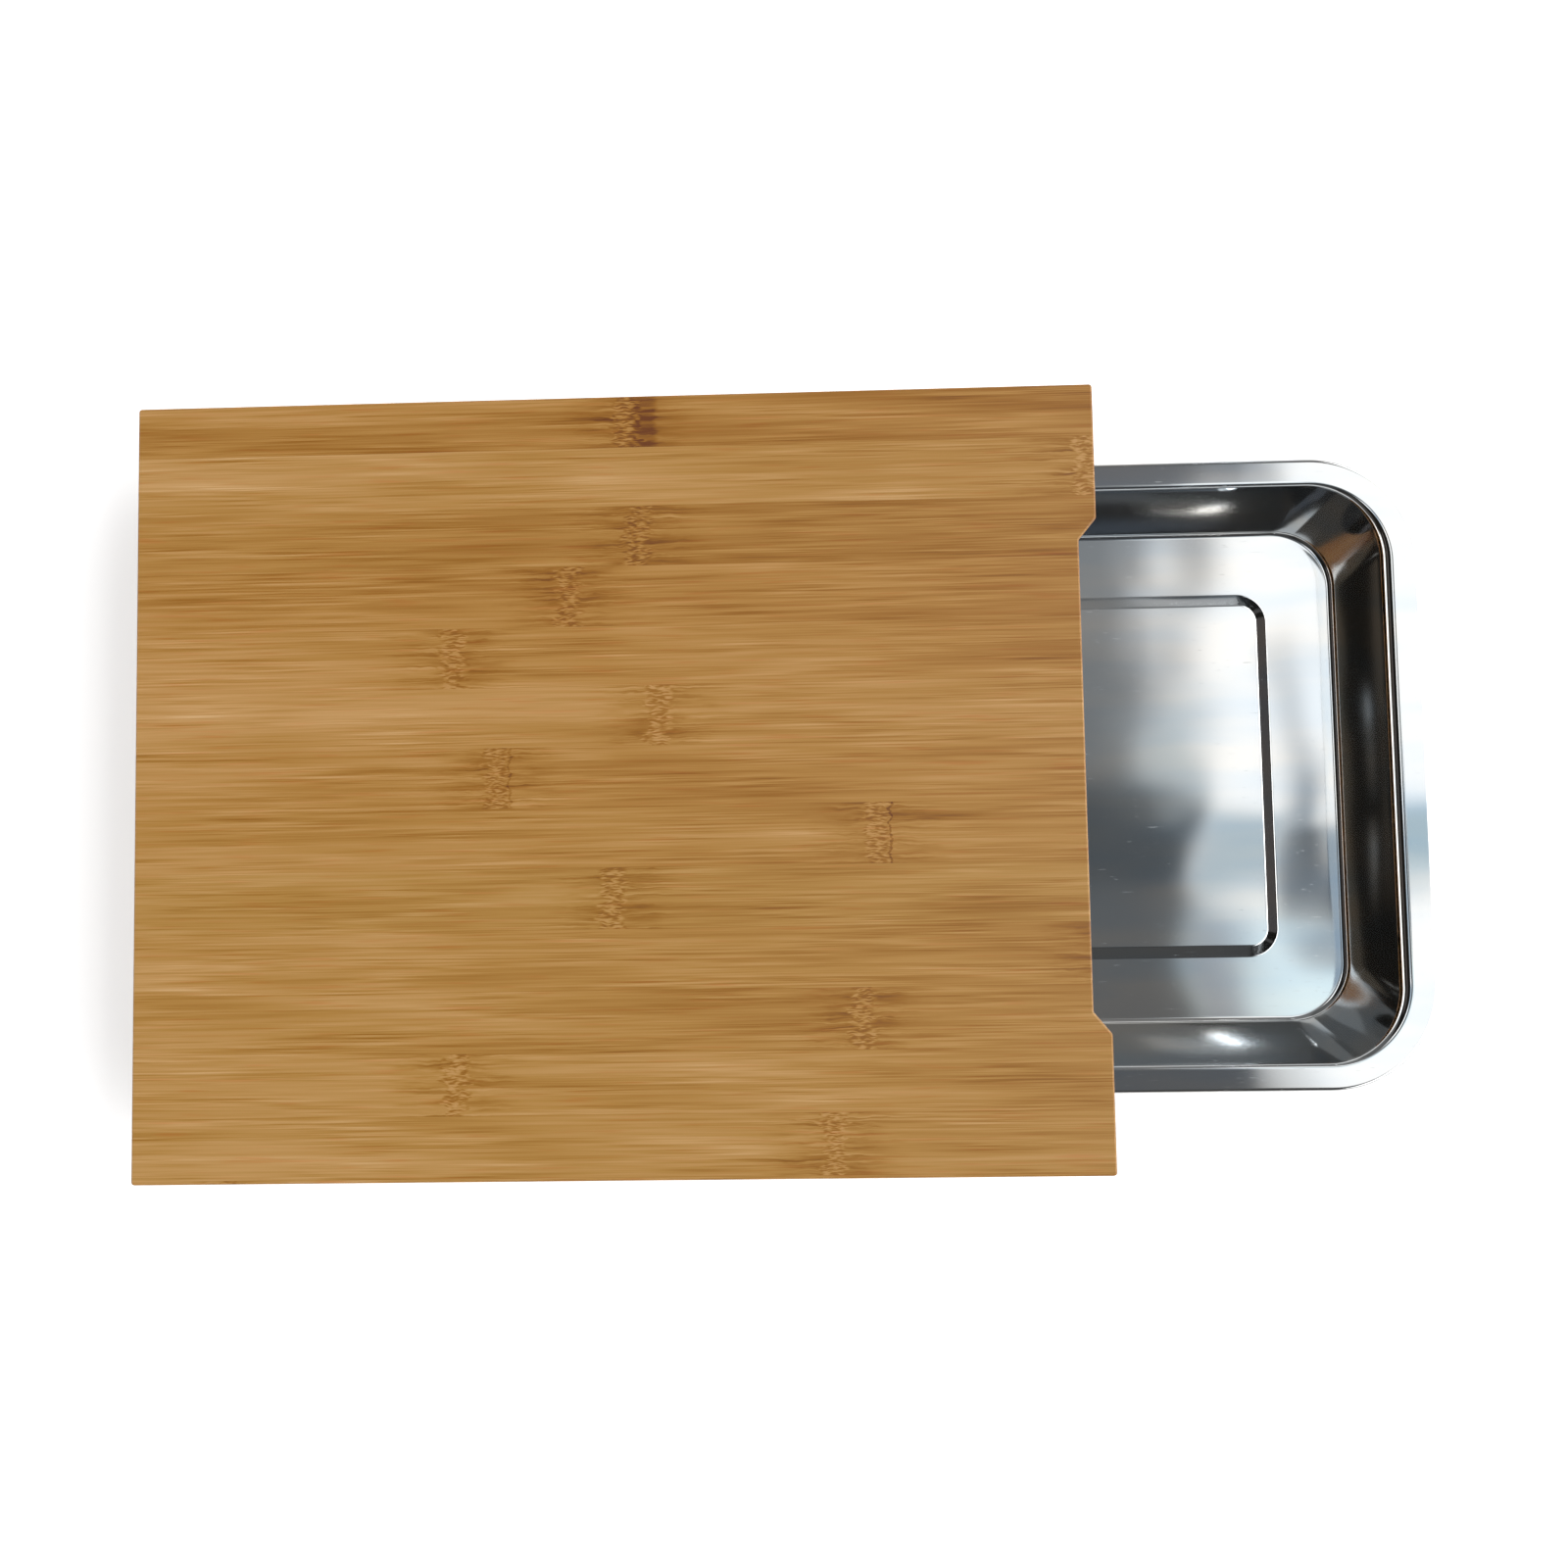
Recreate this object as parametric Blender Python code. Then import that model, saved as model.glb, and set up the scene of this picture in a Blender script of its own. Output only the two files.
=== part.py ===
"""Bamboo cutting board with a steel drawer tray that slides out from under it.

The board stands on four rubber feet. Two side walls and an end wall carry it, and a
runner on each side wall carries the rim of the tray. The tray is modelled partly
pulled out, and it comes out altogether at the open end.

Metres, +Z up. +X is the way the tray pulls out. The origin is on the table, under the
middle of the whole, tray included. The "near" side is -Y and the "far" side is +Y.
"""

import math

import bmesh
import bpy
import numpy as np
from mathutils import Matrix, Vector

MM = 0.001

# Fits shared by several pieces
SEAT_GAP = 0.3 * MM  # glue line, or the gap between a piece and its seat
HOLE_END_GAP = 0.5 * MM  # air beyond the end of a dowel or screw in its blind hole
CUT_OVERRUN = 2 * MM  # how far a cutter runs past an open face
WELD = 0.001 * MM  # points closer than this are one point

# Drawer tray, pressed from one sheet
SHEET = 0.6 * MM
TRAY_LENGTH = 320 * MM
TRAY_WIDTH = 224 * MM
TRAY_DEPTH = 28 * MM  # top of the rim to the top of the floor
TRAY_CORNER = 38 * MM  # plan radius of the rim's outer edge
RIM_WIDTH = 8.8 * MM  # outer edge to where the sheet starts to turn down
RIM_BEND = 3.6 * MM  # radius of that turn, on the sheet's top face
WALL_LEAN = math.radians(12)  # of the tray's walls, away from upright
FLOOR_BEND = 4.2 * MM  # radius between wall and floor, on the sheet's top face
FLOOR_CORNER = 20 * MM  # plan radius of the floor
HEM_GAP = 1.2 * MM  # air inside the edge that is folded under the rim
HEM_RETURN = 4.4 * MM  # how far the folded edge reaches back under the rim
PANEL_INSET = 43.5 * MM  # rim's outer edge to the foot of the raised floor panel
PANEL_CORNER = 11 * MM  # plan radius at that foot
PANEL_RISE = 1.7 * MM
PANEL_BEND = 3 * MM  # radius of the two turns in the panel's edge
PANEL_SLOPE = math.radians(25)  # of the panel's edge, from level

# How the tray sits in its bay
TRAY_OUT = 118 * MM  # how far it is pulled out here
TRAY_END_GAP = 1 * MM  # tray to end wall, when closed
RIM_TOP_GAP = 2 * MM  # rim to the underside of the board
RIM_SIDE_GAP = 2 * MM  # rim to side wall
RUNNER_SIDE_GAP = 1.2 * MM  # runner's inner face outward of the start of the rim's turn
TRAY_LIFT = 3.4 * MM  # underside of the tray above the bottom of the walls

# Bamboo pieces
BOARD_THICKNESS = 16 * MM
BOARD_CORNER = 1 * MM  # plan radius of the board's four corners
BOARD_EASE = 0.7 * MM  # rounding along its top and bottom edges
NOTCH_DEPTH = 6.2 * MM  # of the shallow cut in the open end, over the tray
NOTCH_LENGTH = 161 * MM  # along its straight bottom
NOTCH_RUN = 7.5 * MM  # length of each slanted end, along the board's edge
NOTCH_BLEND = 1.5 * MM  # radius between the straight and the slanted stretches
WALL_THICKNESS = 21 * MM
END_WALL_THICKNESS = 14 * MM
WALL_EASE = 1 * MM
RUNNER_HEIGHT = 10 * MM
RUNNER_EASE = 0.6 * MM
RUNNER_LEAD_IN = 3 * MM  # slope at the open end that guides the rim in

# Beech dowels
DOWEL_RADIUS = 3 * MM
DOWEL_LENGTH = 30 * MM
DOWEL_CHAMFER = 0.8 * MM
DOWEL_COVER = 5.5 * MM  # wood above the end of an upright dowel in the board
DOWEL_IN_SIDE_WALL = 12 * MM  # length of a level dowel that stands in the side wall
SIDE_DOWEL_SHARES = (0.09, 0.36, 0.64, 0.91)  # of the side wall's length
END_DOWEL_SHARES = (0.25, 0.75)  # of the end wall's length
LEVEL_DOWEL_SHARE = 0.36  # of the wall's height

# Countersunk screws that hold the runners
RUNNER_SCREW_RADIUS = 1.75 * MM
RUNNER_SCREW_COVER = 5.5 * MM  # wood beyond its tip in the side wall
RUNNER_SCREW_HEAD_RADIUS = 3.4 * MM
RUNNER_SCREW_HEAD_EDGE = 0.4 * MM  # height of the head's straight rim
RUNNER_SCREW_SINK = 0.5 * MM  # head below the runner's face
RUNNER_SCREW_SHARES = (0.18, 0.5, 0.82)  # of the runner's length

# Rubber feet, each with a washer and a pan-head screw
FOOT_HEIGHT = 7 * MM
FOOT_TOP_RADIUS = 9 * MM
FOOT_BOTTOM_RADIUS = 8 * MM
FOOT_ROUND = 1 * MM  # rounding round the foot's lower edge
FOOT_POCKET_RADIUS = 4.7 * MM
FOOT_INSET = 20 * MM  # foot's axis to the end of the side wall
WASHER_RADIUS = 4.2 * MM
WASHER_THICKNESS = 0.8 * MM
FOOT_SCREW_RADIUS = 1.9 * MM
FOOT_SCREW_LENGTH = 16 * MM  # under the head
FOOT_SCREW_HEAD_RADIUS = 3.6 * MM
FOOT_SCREW_HEAD_HEIGHT = 1.8 * MM
FOOT_SCREW_DOME = 0.7 * MM  # part of the head's height that is rounded
FOOT_SCREW_LIFT = 1 * MM  # head above the table

# Points and cross recesses, alike on both kinds of screw
SCREW_TIP_LENGTH = 4 * MM
SCREW_TIP_RADIUS = 0.3 * MM
RECESS_SPAN = 3.6 * MM
RECESS_SLOT = 0.9 * MM
RECESS_DEPTH = 1.1 * MM
RECESS_FLOOR_SHARE = 0.45  # size of the recess at its floor, of its size at the top

# Smoothness of round shapes
CORNER_STEPS = 8
FOLD_STEPS = 8
BEND_STEPS = 5
PANEL_BEND_STEPS = 3
NOTCH_STEPS = 3
EASE_STEPS = 2
DOME_STEPS = 3
DOWEL_STEPS = 14
SCREW_STEPS = 16
FOOT_STEPS = 28
SMOOTH_ANGLE = math.radians(40)

# Heights, worked out from the table up
HEM_HEIGHT = 2 * SHEET + HEM_GAP
WALL_BOTTOM_Z = FOOT_HEIGHT + SEAT_GAP
RIM_Z = WALL_BOTTOM_Z + TRAY_LIFT + SHEET + TRAY_DEPTH
BOARD_BOTTOM_Z = RIM_Z + RIM_TOP_GAP
BOARD_TOP_Z = BOARD_BOTTOM_Z + BOARD_THICKNESS
WALL_TOP_Z = BOARD_BOTTOM_Z - SEAT_GAP
RUNNER_TOP_Z = RIM_Z - HEM_HEIGHT - SEAT_GAP
RUNNER_BOTTOM_Z = RUNNER_TOP_Z - RUNNER_HEIGHT
UPRIGHT_DOWEL_Z = BOARD_TOP_Z - DOWEL_COVER - DOWEL_LENGTH
WASHER_Z = FOOT_SCREW_LIFT + FOOT_SCREW_HEAD_HEIGHT + SEAT_GAP
FOOT_POCKET_Z = WASHER_Z + WASHER_THICKNESS + SEAT_GAP

# Distances across the board, from its middle
WALL_INNER_Y = TRAY_WIDTH / 2 + RIM_SIDE_GAP
WALL_OUTER_Y = WALL_INNER_Y + WALL_THICKNESS
WALL_MIDDLE_Y = (WALL_INNER_Y + WALL_OUTER_Y) / 2
RUNNER_INNER_Y = TRAY_WIDTH / 2 - RIM_WIDTH + RUNNER_SIDE_GAP
RUNNER_OUTER_Y = WALL_INNER_Y - SEAT_GAP

# Places along the board
BOARD_LENGTH = END_WALL_THICKNESS + TRAY_END_GAP + TRAY_LENGTH
CLOSED_X = -(BOARD_LENGTH + TRAY_OUT) / 2
OPEN_X = CLOSED_X + BOARD_LENGTH
END_WALL_INNER_X = CLOSED_X + END_WALL_THICKNESS
END_WALL_MIDDLE_X = CLOSED_X + END_WALL_THICKNESS / 2
RUNNER_START_X = END_WALL_INNER_X + SEAT_GAP
TRAY_MIDDLE_X = OPEN_X + TRAY_OUT - TRAY_LENGTH / 2

UP = Vector((0, 0, 1))
SIDES = {"near": -1, "far": 1}


def clear_scene():
    """Removes every object that the file opened with."""
    for old in list(bpy.data.objects):
        bpy.data.objects.remove(old)


def finish_material(name, colour, roughness, metallic=0.0):
    """A plain Principled material, its colour in linear light."""
    material = bpy.data.materials.new(name)
    material.use_nodes = True
    shader = material.node_tree.nodes["Principled BSDF"]
    shader.inputs["Base Color"].default_value = (*colour, 1)
    shader.inputs["Roughness"].default_value = roughness
    shader.inputs["Metallic"].default_value = metallic
    return material


# Building blocks

def add_object(name, bm, material=None):
    """Turns a bmesh into a named object, its faces pointing out and its round faces smooth."""
    bmesh.ops.recalc_face_normals(bm, faces=bm.faces)
    mesh = bpy.data.meshes.new(name)
    bm.to_mesh(mesh)
    bm.free()
    mesh.shade_smooth()
    mesh.set_sharp_from_angle(angle=SMOOTH_ANGLE)
    if material:
        mesh.materials.append(material)
    made = bpy.data.objects.new(name, mesh)
    bpy.context.scene.collection.objects.link(made)
    return made


def cut(cutter, pieces):
    """Takes the cutter's shape away from the pieces, and keeps it as a wire guide."""
    cutter.hide_render = True
    cutter.display_type = "WIRE"
    for piece in pieces:
        boolean = piece.modifiers.new("cut by " + cutter.name, "BOOLEAN")
        boolean.operation = "DIFFERENCE"
        boolean.object = cutter


def arc(centre, radius, start, end, steps):
    """Points of a flat arc, both ends included."""
    angles = [start + (end - start) * i / steps for i in range(steps + 1)]
    return [Vector(centre) + radius * Vector((math.cos(a), math.sin(a))) for a in angles]


def rounded_outline(corners):
    """Closed flat outline through (x, y, radius, steps) corners, each rounded by its radius."""
    points = []
    for i, (x, y, radius, steps) in enumerate(corners):
        corner = Vector((x, y))
        before = (Vector(corners[i - 1][:2]) - corner).normalized()
        after = (Vector(corners[(i + 1) % len(corners)][:2]) - corner).normalized()
        half = before.angle(after) / 2
        centre = corner + (before + after).normalized() * radius / math.sin(half)
        first = corner + before * radius / math.tan(half) - centre
        last = corner + after * radius / math.tan(half) - centre
        start = math.atan2(first.y, first.x)
        points += arc(centre, radius, start, start + last.angle_signed(first), steps)
    return points


def rectangle(low, high, radius):
    """Corners for rounded_outline of a rectangle between two opposite points."""
    (x0, y0), (x1, y1) = low, high
    return [(x, y, radius, EASE_STEPS) for x, y in ((x0, y0), (x1, y0), (x1, y1), (x0, y1))]


def loft(name, rings, material=None):
    """A body through rings of as many points each, closed by a face over each end ring."""
    bm = bmesh.new()
    loops = [[bm.verts.new(point) for point in ring] for ring in rings]
    for loop, following in zip(loops, loops[1:]):
        for i in range(len(loop)):
            bm.faces.new((loop[i - 1], loop[i], following[i], following[i - 1]))
    bm.faces.new(loops[0])
    bm.faces.new(loops[-1])
    return add_object(name, bm, material)


def eased_slab(name, corners, bottom, top, ease, material):
    """A flat piece of that plan, its top and bottom edges rounded."""
    bm = bmesh.new()
    lower = bm.faces.new([bm.verts.new((p.x, p.y, bottom)) for p in rounded_outline(corners)])
    lifted = bmesh.ops.extrude_face_region(bm, geom=[lower])["geom"]
    raised = [part for part in lifted if isinstance(part, bmesh.types.BMVert)]
    bmesh.ops.translate(bm, verts=raised, vec=(top - bottom) * UP)
    rims = [e for e in bm.edges if abs(e.verts[0].co.z - e.verts[1].co.z) < WELD]
    bmesh.ops.bevel(bm, geom=rims, offset=ease, segments=EASE_STEPS, profile=0.5, affect="EDGES")
    return add_object(name, bm, material)


def turned(name, profile, steps, ring=False, material=None):
    """Spins a profile of (radius, height) points about Z. A ring's profile is a closed loop."""
    bm = bmesh.new()
    verts = [bm.verts.new((radius, 0, height)) for radius, height in profile]
    edges = [bm.edges.new(pair) for pair in zip(verts, verts[1:])]
    if ring:
        edges.append(bm.edges.new((verts[-1], verts[0])))
    spun = verts + edges
    bmesh.ops.spin(bm, geom=spun, cent=(0, 0, 0), axis=UP, angle=math.tau, steps=steps)
    bmesh.ops.remove_doubles(bm, verts=bm.verts, dist=WELD)
    return add_object(name, bm, material)


def place(piece, location, along=UP):
    """Puts a piece's origin at a place, with its own Z along a direction."""
    piece.location = location
    piece.rotation_euler = Vector(along).to_track_quat("Z", "Y").to_euler()
    return piece


def drill(name, start, along, radius, length, steps, pieces):
    """A straight round hole through the pieces, from a start point along a direction."""
    profile = [(0, 0), (radius, 0), (radius, length), (0, length)]
    cut(place(turned(name, profile, steps), start, along), pieces)


# Tray

def tray_wall_run():
    """Length of the straight stretch in the tray's wall."""
    dropped_in_bends = (RIM_BEND + FLOOR_BEND) * (1 - math.sin(WALL_LEAN))
    return (TRAY_DEPTH - dropped_in_bends) / math.cos(WALL_LEAN)


def floor_inset():
    """Distance from the rim's outer edge to where the floor starts."""
    turned_in = (RIM_BEND + FLOOR_BEND) * math.cos(WALL_LEAN)
    return RIM_WIDTH + turned_in + tray_wall_run() * math.sin(WALL_LEAN)


def panel_edge_run():
    """Length of the straight stretch in the edge of the raised panel."""
    risen_in_bends = 2 * PANEL_BEND * (1 - math.cos(PANEL_SLOPE))
    return (PANEL_RISE - risen_in_bends) / math.sin(PANEL_SLOPE)


def panel_edge_width():
    """Width of the raised panel's edge, from above."""
    return 2 * PANEL_BEND * math.sin(PANEL_SLOPE) + panel_edge_run() * math.cos(PANEL_SLOPE)


def tray_moves():
    """The straight runs and bends of the tray's sheet, on its middle line.

    They go from the end of the folded edge out, round and over the rim, down the wall,
    across the floor and up to the raised panel. An angle above zero turns left.
    """
    down = math.pi / 2 - WALL_LEAN
    fold_middle = HEM_HEIGHT / 2
    return [
        ("run", HEM_RETURN - fold_middle),
        ("bend", (HEM_GAP + SHEET) / 2, -math.pi, FOLD_STEPS),
        ("run", RIM_WIDTH - fold_middle),
        ("bend", RIM_BEND - SHEET / 2, -down, BEND_STEPS),
        ("run", tray_wall_run()),
        ("bend", FLOOR_BEND + SHEET / 2, down, BEND_STEPS),
        ("run", PANEL_INSET - floor_inset()),
        ("bend", PANEL_BEND, PANEL_SLOPE, PANEL_BEND_STEPS),
        ("run", panel_edge_run()),
        ("bend", PANEL_BEND, -PANEL_SLOPE, PANEL_BEND_STEPS),
    ]


def sheet_face(offset):
    """One face of the tray's sheet as (inset, height) points, offset from its middle line.

    Insets are counted from the rim's outer edge, and heights from the rim's top.
    """
    heading = math.pi
    points = [Vector((HEM_RETURN, SHEET / 2 - HEM_HEIGHT - offset))]
    for kind, size, *turn in tray_moves():
        here = points[-1]
        if kind == "run":
            points.append(here + size * Vector((math.cos(heading), math.sin(heading))))
            continue
        angle, steps = turn
        radius = size - offset if angle > 0 else size + offset
        side = math.copysign(math.pi / 2, angle)
        centre = here + radius * Vector((math.cos(heading + side), math.sin(heading + side)))
        points += arc(centre, radius, heading - side, heading - side + angle, steps)[1:]
        heading += angle
    return points


def tray_ring(inset, height):
    """Points round the tray at that inset and height.

    The corners tighten on the way in, from the rim to the floor and the raised panel.
    """
    corner_radii = (
        (0, TRAY_CORNER),
        (RIM_WIDTH, TRAY_CORNER - RIM_WIDTH),
        (floor_inset(), FLOOR_CORNER),
        (PANEL_INSET, PANEL_CORNER),
        (PANEL_INSET + panel_edge_width(), PANEL_CORNER - panel_edge_width()),
    )
    radius = float(np.interp(inset, *zip(*corner_radii)))
    x, y = TRAY_LENGTH / 2 - inset, TRAY_WIDTH / 2 - inset
    corners = [(cx, cy, radius, CORNER_STEPS) for cx, cy in ((x, y), (-x, y), (-x, -y), (x, -y))]
    return [(p.x, p.y, height) for p in rounded_outline(corners)]


def make_tray(material):
    """The pressed tray, its origin in the middle of the rim's top plane."""
    underside, topside = sheet_face(-SHEET / 2), sheet_face(SHEET / 2)
    rings = [tray_ring(inset, height) for inset, height in underside[::-1] + topside]
    place(loft("drawer_tray", rings, material), (TRAY_MIDDLE_X, 0, RIM_Z))


# Bamboo pieces

def make_board(material):
    """The cutting board, with the shallow notch in its open end."""
    notch_x = OPEN_X - NOTCH_DEPTH
    inner, outer = NOTCH_LENGTH / 2, NOTCH_LENGTH / 2 + NOTCH_RUN
    notch = ((OPEN_X, -outer), (notch_x, -inner), (notch_x, inner), (OPEN_X, outer))
    corners = rectangle((CLOSED_X, -WALL_OUTER_Y), (OPEN_X, WALL_OUTER_Y), BOARD_CORNER)
    corners[2:2] = [(x, y, NOTCH_BLEND, NOTCH_STEPS) for x, y in notch]
    return eased_slab("top_board", corners, BOARD_BOTTOM_Z, BOARD_TOP_Z, BOARD_EASE, material)


def make_side_wall(label, side, material):
    """A side wall under one long edge of the board."""
    low, high = sorted((side * WALL_INNER_Y, side * WALL_OUTER_Y))
    corners = rectangle((CLOSED_X, low), (OPEN_X, high), WALL_EASE)
    return eased_slab("side_wall_" + label, corners, WALL_BOTTOM_Z, WALL_TOP_Z, WALL_EASE, material)


def make_end_wall(material):
    """The wall across the closed end, between the side walls, where the tray stops."""
    half = WALL_INNER_Y - SEAT_GAP
    corners = rectangle((CLOSED_X, -half), (END_WALL_INNER_X, half), WALL_EASE)
    return eased_slab("end_wall", corners, WALL_BOTTOM_Z, WALL_TOP_Z, WALL_EASE, material)


def make_runner(label, side, material):
    """The strip on a side wall that the tray's rim slides on, sloped at its open end."""
    low, high = sorted((side * RUNNER_INNER_Y, side * RUNNER_OUTER_Y))
    corners = rectangle((RUNNER_START_X, low), (OPEN_X, high), RUNNER_EASE)
    runner = eased_slab("runner_" + label, corners, RUNNER_BOTTOM_Z, RUNNER_TOP_Z, RUNNER_EASE, material)
    past_end, above = OPEN_X + CUT_OVERRUN, RUNNER_TOP_Z + CUT_OVERRUN
    slope_top = (OPEN_X - RUNNER_LEAD_IN - CUT_OVERRUN, above)
    slope_foot = (past_end, RUNNER_TOP_Z - RUNNER_LEAD_IN - CUT_OVERRUN)
    wedge = (slope_top, slope_foot, (past_end, above))
    faces = [[(x, y, z) for x, z in wedge] for y in (low - CUT_OVERRUN, high + CUT_OVERRUN)]
    cut(loft("lead_in_" + label, faces), [runner])
    return runner


# Dowels

def add_dowel(name, start, along, joined, material):
    """A dowel from its start point along a direction, in a hole through the joined pieces."""
    body, end = DOWEL_RADIUS, DOWEL_RADIUS - DOWEL_CHAMFER
    profile = [
        (0, 0),
        (end, 0),
        (body, DOWEL_CHAMFER),
        (body, DOWEL_LENGTH - DOWEL_CHAMFER),
        (end, DOWEL_LENGTH),
        (0, DOWEL_LENGTH),
    ]
    place(turned(name, profile, DOWEL_STEPS, material=material), start, along)
    hole_start = Vector(start) - HOLE_END_GAP * Vector(along)
    hole_radius, hole_length = DOWEL_RADIUS + SEAT_GAP, DOWEL_LENGTH + 2 * HOLE_END_GAP
    drill("hole_for_" + name, hole_start, along, hole_radius, hole_length, DOWEL_STEPS, joined)


def add_dowels(board, side_walls, end_wall, material):
    """The upright dowels under the board and the level ones in the two closed corners."""
    level_z = WALL_BOTTOM_Z + LEVEL_DOWEL_SHARE * (WALL_TOP_Z - WALL_BOTTOM_Z)
    for label, side in SIDES.items():
        wall = side_walls[label]
        for number, share in enumerate(SIDE_DOWEL_SHARES, start=1):
            foot = (CLOSED_X + share * BOARD_LENGTH, side * WALL_MIDDLE_Y, UPRIGHT_DOWEL_Z)
            add_dowel(f"dowel_{label}_{number}", foot, UP, [board, wall], material)
        outer_end = (END_WALL_MIDDLE_X, side * (WALL_INNER_Y + DOWEL_IN_SIDE_WALL), level_z)
        add_dowel(f"dowel_corner_{label}", outer_end, (0, -side, 0), [wall, end_wall], material)
    for number, share in enumerate(END_DOWEL_SHARES, start=1):
        foot = (END_WALL_MIDDLE_X, (2 * share - 1) * WALL_INNER_Y, UPRIGHT_DOWEL_Z)
        add_dowel(f"dowel_end_{number}", foot, UP, [board, end_wall], material)


# Screws

def cross(size, height):
    """Ring of the twelve points of a screw's cross recess, at that share of its full size."""
    arm, slot = size * RECESS_SPAN / 2, size * RECESS_SLOT / 2
    quarter = [Vector((arm, -slot, height)), Vector((arm, slot, height)), Vector((slot, slot, height))]
    turns = [Matrix.Rotation(i * math.pi / 2, 3, "Z") for i in range(4)]
    return [turn @ point for turn in turns for point in quarter]


def add_screw(name, profile, start, along, material):
    """A screw with its crown at the start point, driven along a direction."""
    screw = place(turned(name, profile, SCREW_STEPS, material=material), start, along)
    rings = [cross(1, -CUT_OVERRUN), cross(1, 0), cross(RECESS_FLOOR_SHARE, RECESS_DEPTH)]
    recess = place(loft("recess_of_" + name, rings), start, along)
    cut(recess, [screw])


def screw_shank(radius, start, end):
    """Profile points of a screw's shank and point, between two depths."""
    return [(radius, start), (radius, end - SCREW_TIP_LENGTH), (SCREW_TIP_RADIUS, end), (0, end)]


def add_runner_screws(label, side, runner, wall, material):
    """The countersunk screws through one runner into its side wall."""
    height = (RUNNER_TOP_Z + RUNNER_BOTTOM_Z) / 2
    face = RUNNER_INNER_Y + RUNNER_SCREW_SINK
    length = WALL_OUTER_Y - RUNNER_SCREW_COVER - face
    head, shank, edge = RUNNER_SCREW_HEAD_RADIUS, RUNNER_SCREW_RADIUS, RUNNER_SCREW_HEAD_EDGE
    profile = [(0, 0), (head, 0), (head, edge), *screw_shank(shank, edge + head - shank, length)]
    wide, narrow = head + SEAT_GAP, shank + SEAT_GAP
    mouth, bottom = -RUNNER_SCREW_SINK - CUT_OVERRUN, length + HOLE_END_GAP
    taper = [(wide, edge), (narrow, edge + head - shank)]
    hole = [(0, mouth), (wide, mouth), *taper, (narrow, bottom), (0, bottom)]
    for number, share in enumerate(RUNNER_SCREW_SHARES, start=1):
        name = f"runner_screw_{label}_{number}"
        start = (RUNNER_START_X + share * (OPEN_X - RUNNER_START_X), side * face, height)
        add_screw(name, profile, start, (0, side, 0), material)
        cut(place(turned("hole_for_" + name, hole, SCREW_STEPS), start, (0, side, 0)), [runner, wall])


# Feet

def add_foot(label, x, y, wall, rubber, zinc):
    """A rubber foot under a side wall, with its washer and its pan-head screw."""
    bore = FOOT_SCREW_RADIUS + SEAT_GAP
    round_centre = (FOOT_BOTTOM_RADIUS - FOOT_ROUND, FOOT_ROUND)
    foot = [
        (FOOT_POCKET_RADIUS, 0),
        *arc(round_centre, FOOT_ROUND, -math.pi / 2, 0, EASE_STEPS),
        (FOOT_TOP_RADIUS, FOOT_HEIGHT),
        (bore, FOOT_HEIGHT),
        (bore, FOOT_POCKET_Z),
        (FOOT_POCKET_RADIUS, FOOT_POCKET_Z),
    ]
    place(turned("foot_" + label, foot, FOOT_STEPS, ring=True, material=rubber), (x, y, 0))
    outer, thickness = WASHER_RADIUS, WASHER_THICKNESS
    washer = [(bore, 0), (outer, 0), (outer, thickness), (bore, thickness)]
    place(turned("foot_washer_" + label, washer, SCREW_STEPS, ring=True, material=zinc), (x, y, WASHER_Z))
    head, height = FOOT_SCREW_HEAD_RADIUS, FOOT_SCREW_HEAD_HEIGHT
    quarter = [math.pi / 2 * i / DOME_STEPS for i in range(DOME_STEPS + 1)]
    dome = [(head * math.sin(a), FOOT_SCREW_DOME * (1 - math.cos(a))) for a in quarter]
    end = height + FOOT_SCREW_LENGTH
    screw = [*dome, (head, height), *screw_shank(FOOT_SCREW_RADIUS, height, end)]
    add_screw("foot_screw_" + label, screw, (x, y, FOOT_SCREW_LIFT), UP, zinc)
    mouth = WALL_BOTTOM_Z - CUT_OVERRUN
    length = FOOT_SCREW_LIFT + end + HOLE_END_GAP - mouth
    drill("hole_for_foot_screw_" + label, (x, y, mouth), UP, bore, length, SCREW_STEPS, [wall])


def main():
    """Builds every piece of the board and its drawer."""
    clear_scene()
    bamboo = finish_material("bamboo", (0.46, 0.26, 0.09), 0.5)
    beech = finish_material("beech", (0.6, 0.42, 0.26), 0.6)
    steel = finish_material("stainless_steel", (0.62, 0.62, 0.62), 0.2, 1.0)
    zinc = finish_material("zinc_plated_steel", (0.55, 0.56, 0.58), 0.35, 1.0)
    rubber = finish_material("rubber", (0.02, 0.02, 0.02), 0.75)
    board = make_board(bamboo)
    side_walls = {label: make_side_wall(label, side, bamboo) for label, side in SIDES.items()}
    end_wall = make_end_wall(bamboo)
    add_dowels(board, side_walls, end_wall, beech)
    foot_places = {"closed": CLOSED_X + FOOT_INSET, "open": OPEN_X - FOOT_INSET}
    for label, side in SIDES.items():
        wall = side_walls[label]
        runner = make_runner(label, side, bamboo)
        add_runner_screws(label, side, runner, wall, zinc)
        for end, x in foot_places.items():
            add_foot(f"{label}_{end}", x, side * WALL_MIDDLE_Y, wall, rubber, zinc)
    make_tray(steel)


main()
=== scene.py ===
"""Dresses the cutting board and its drawer tray, and sets up the studio round them.

Metres, +Z up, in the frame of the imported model: +X is the way the tray pulls out, and
the origin is on the table. A field whose name ends in _mm is in millimetres.
"""

import logging
import math
from dataclasses import dataclass, replace
from enum import Enum
from typing import Any

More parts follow.
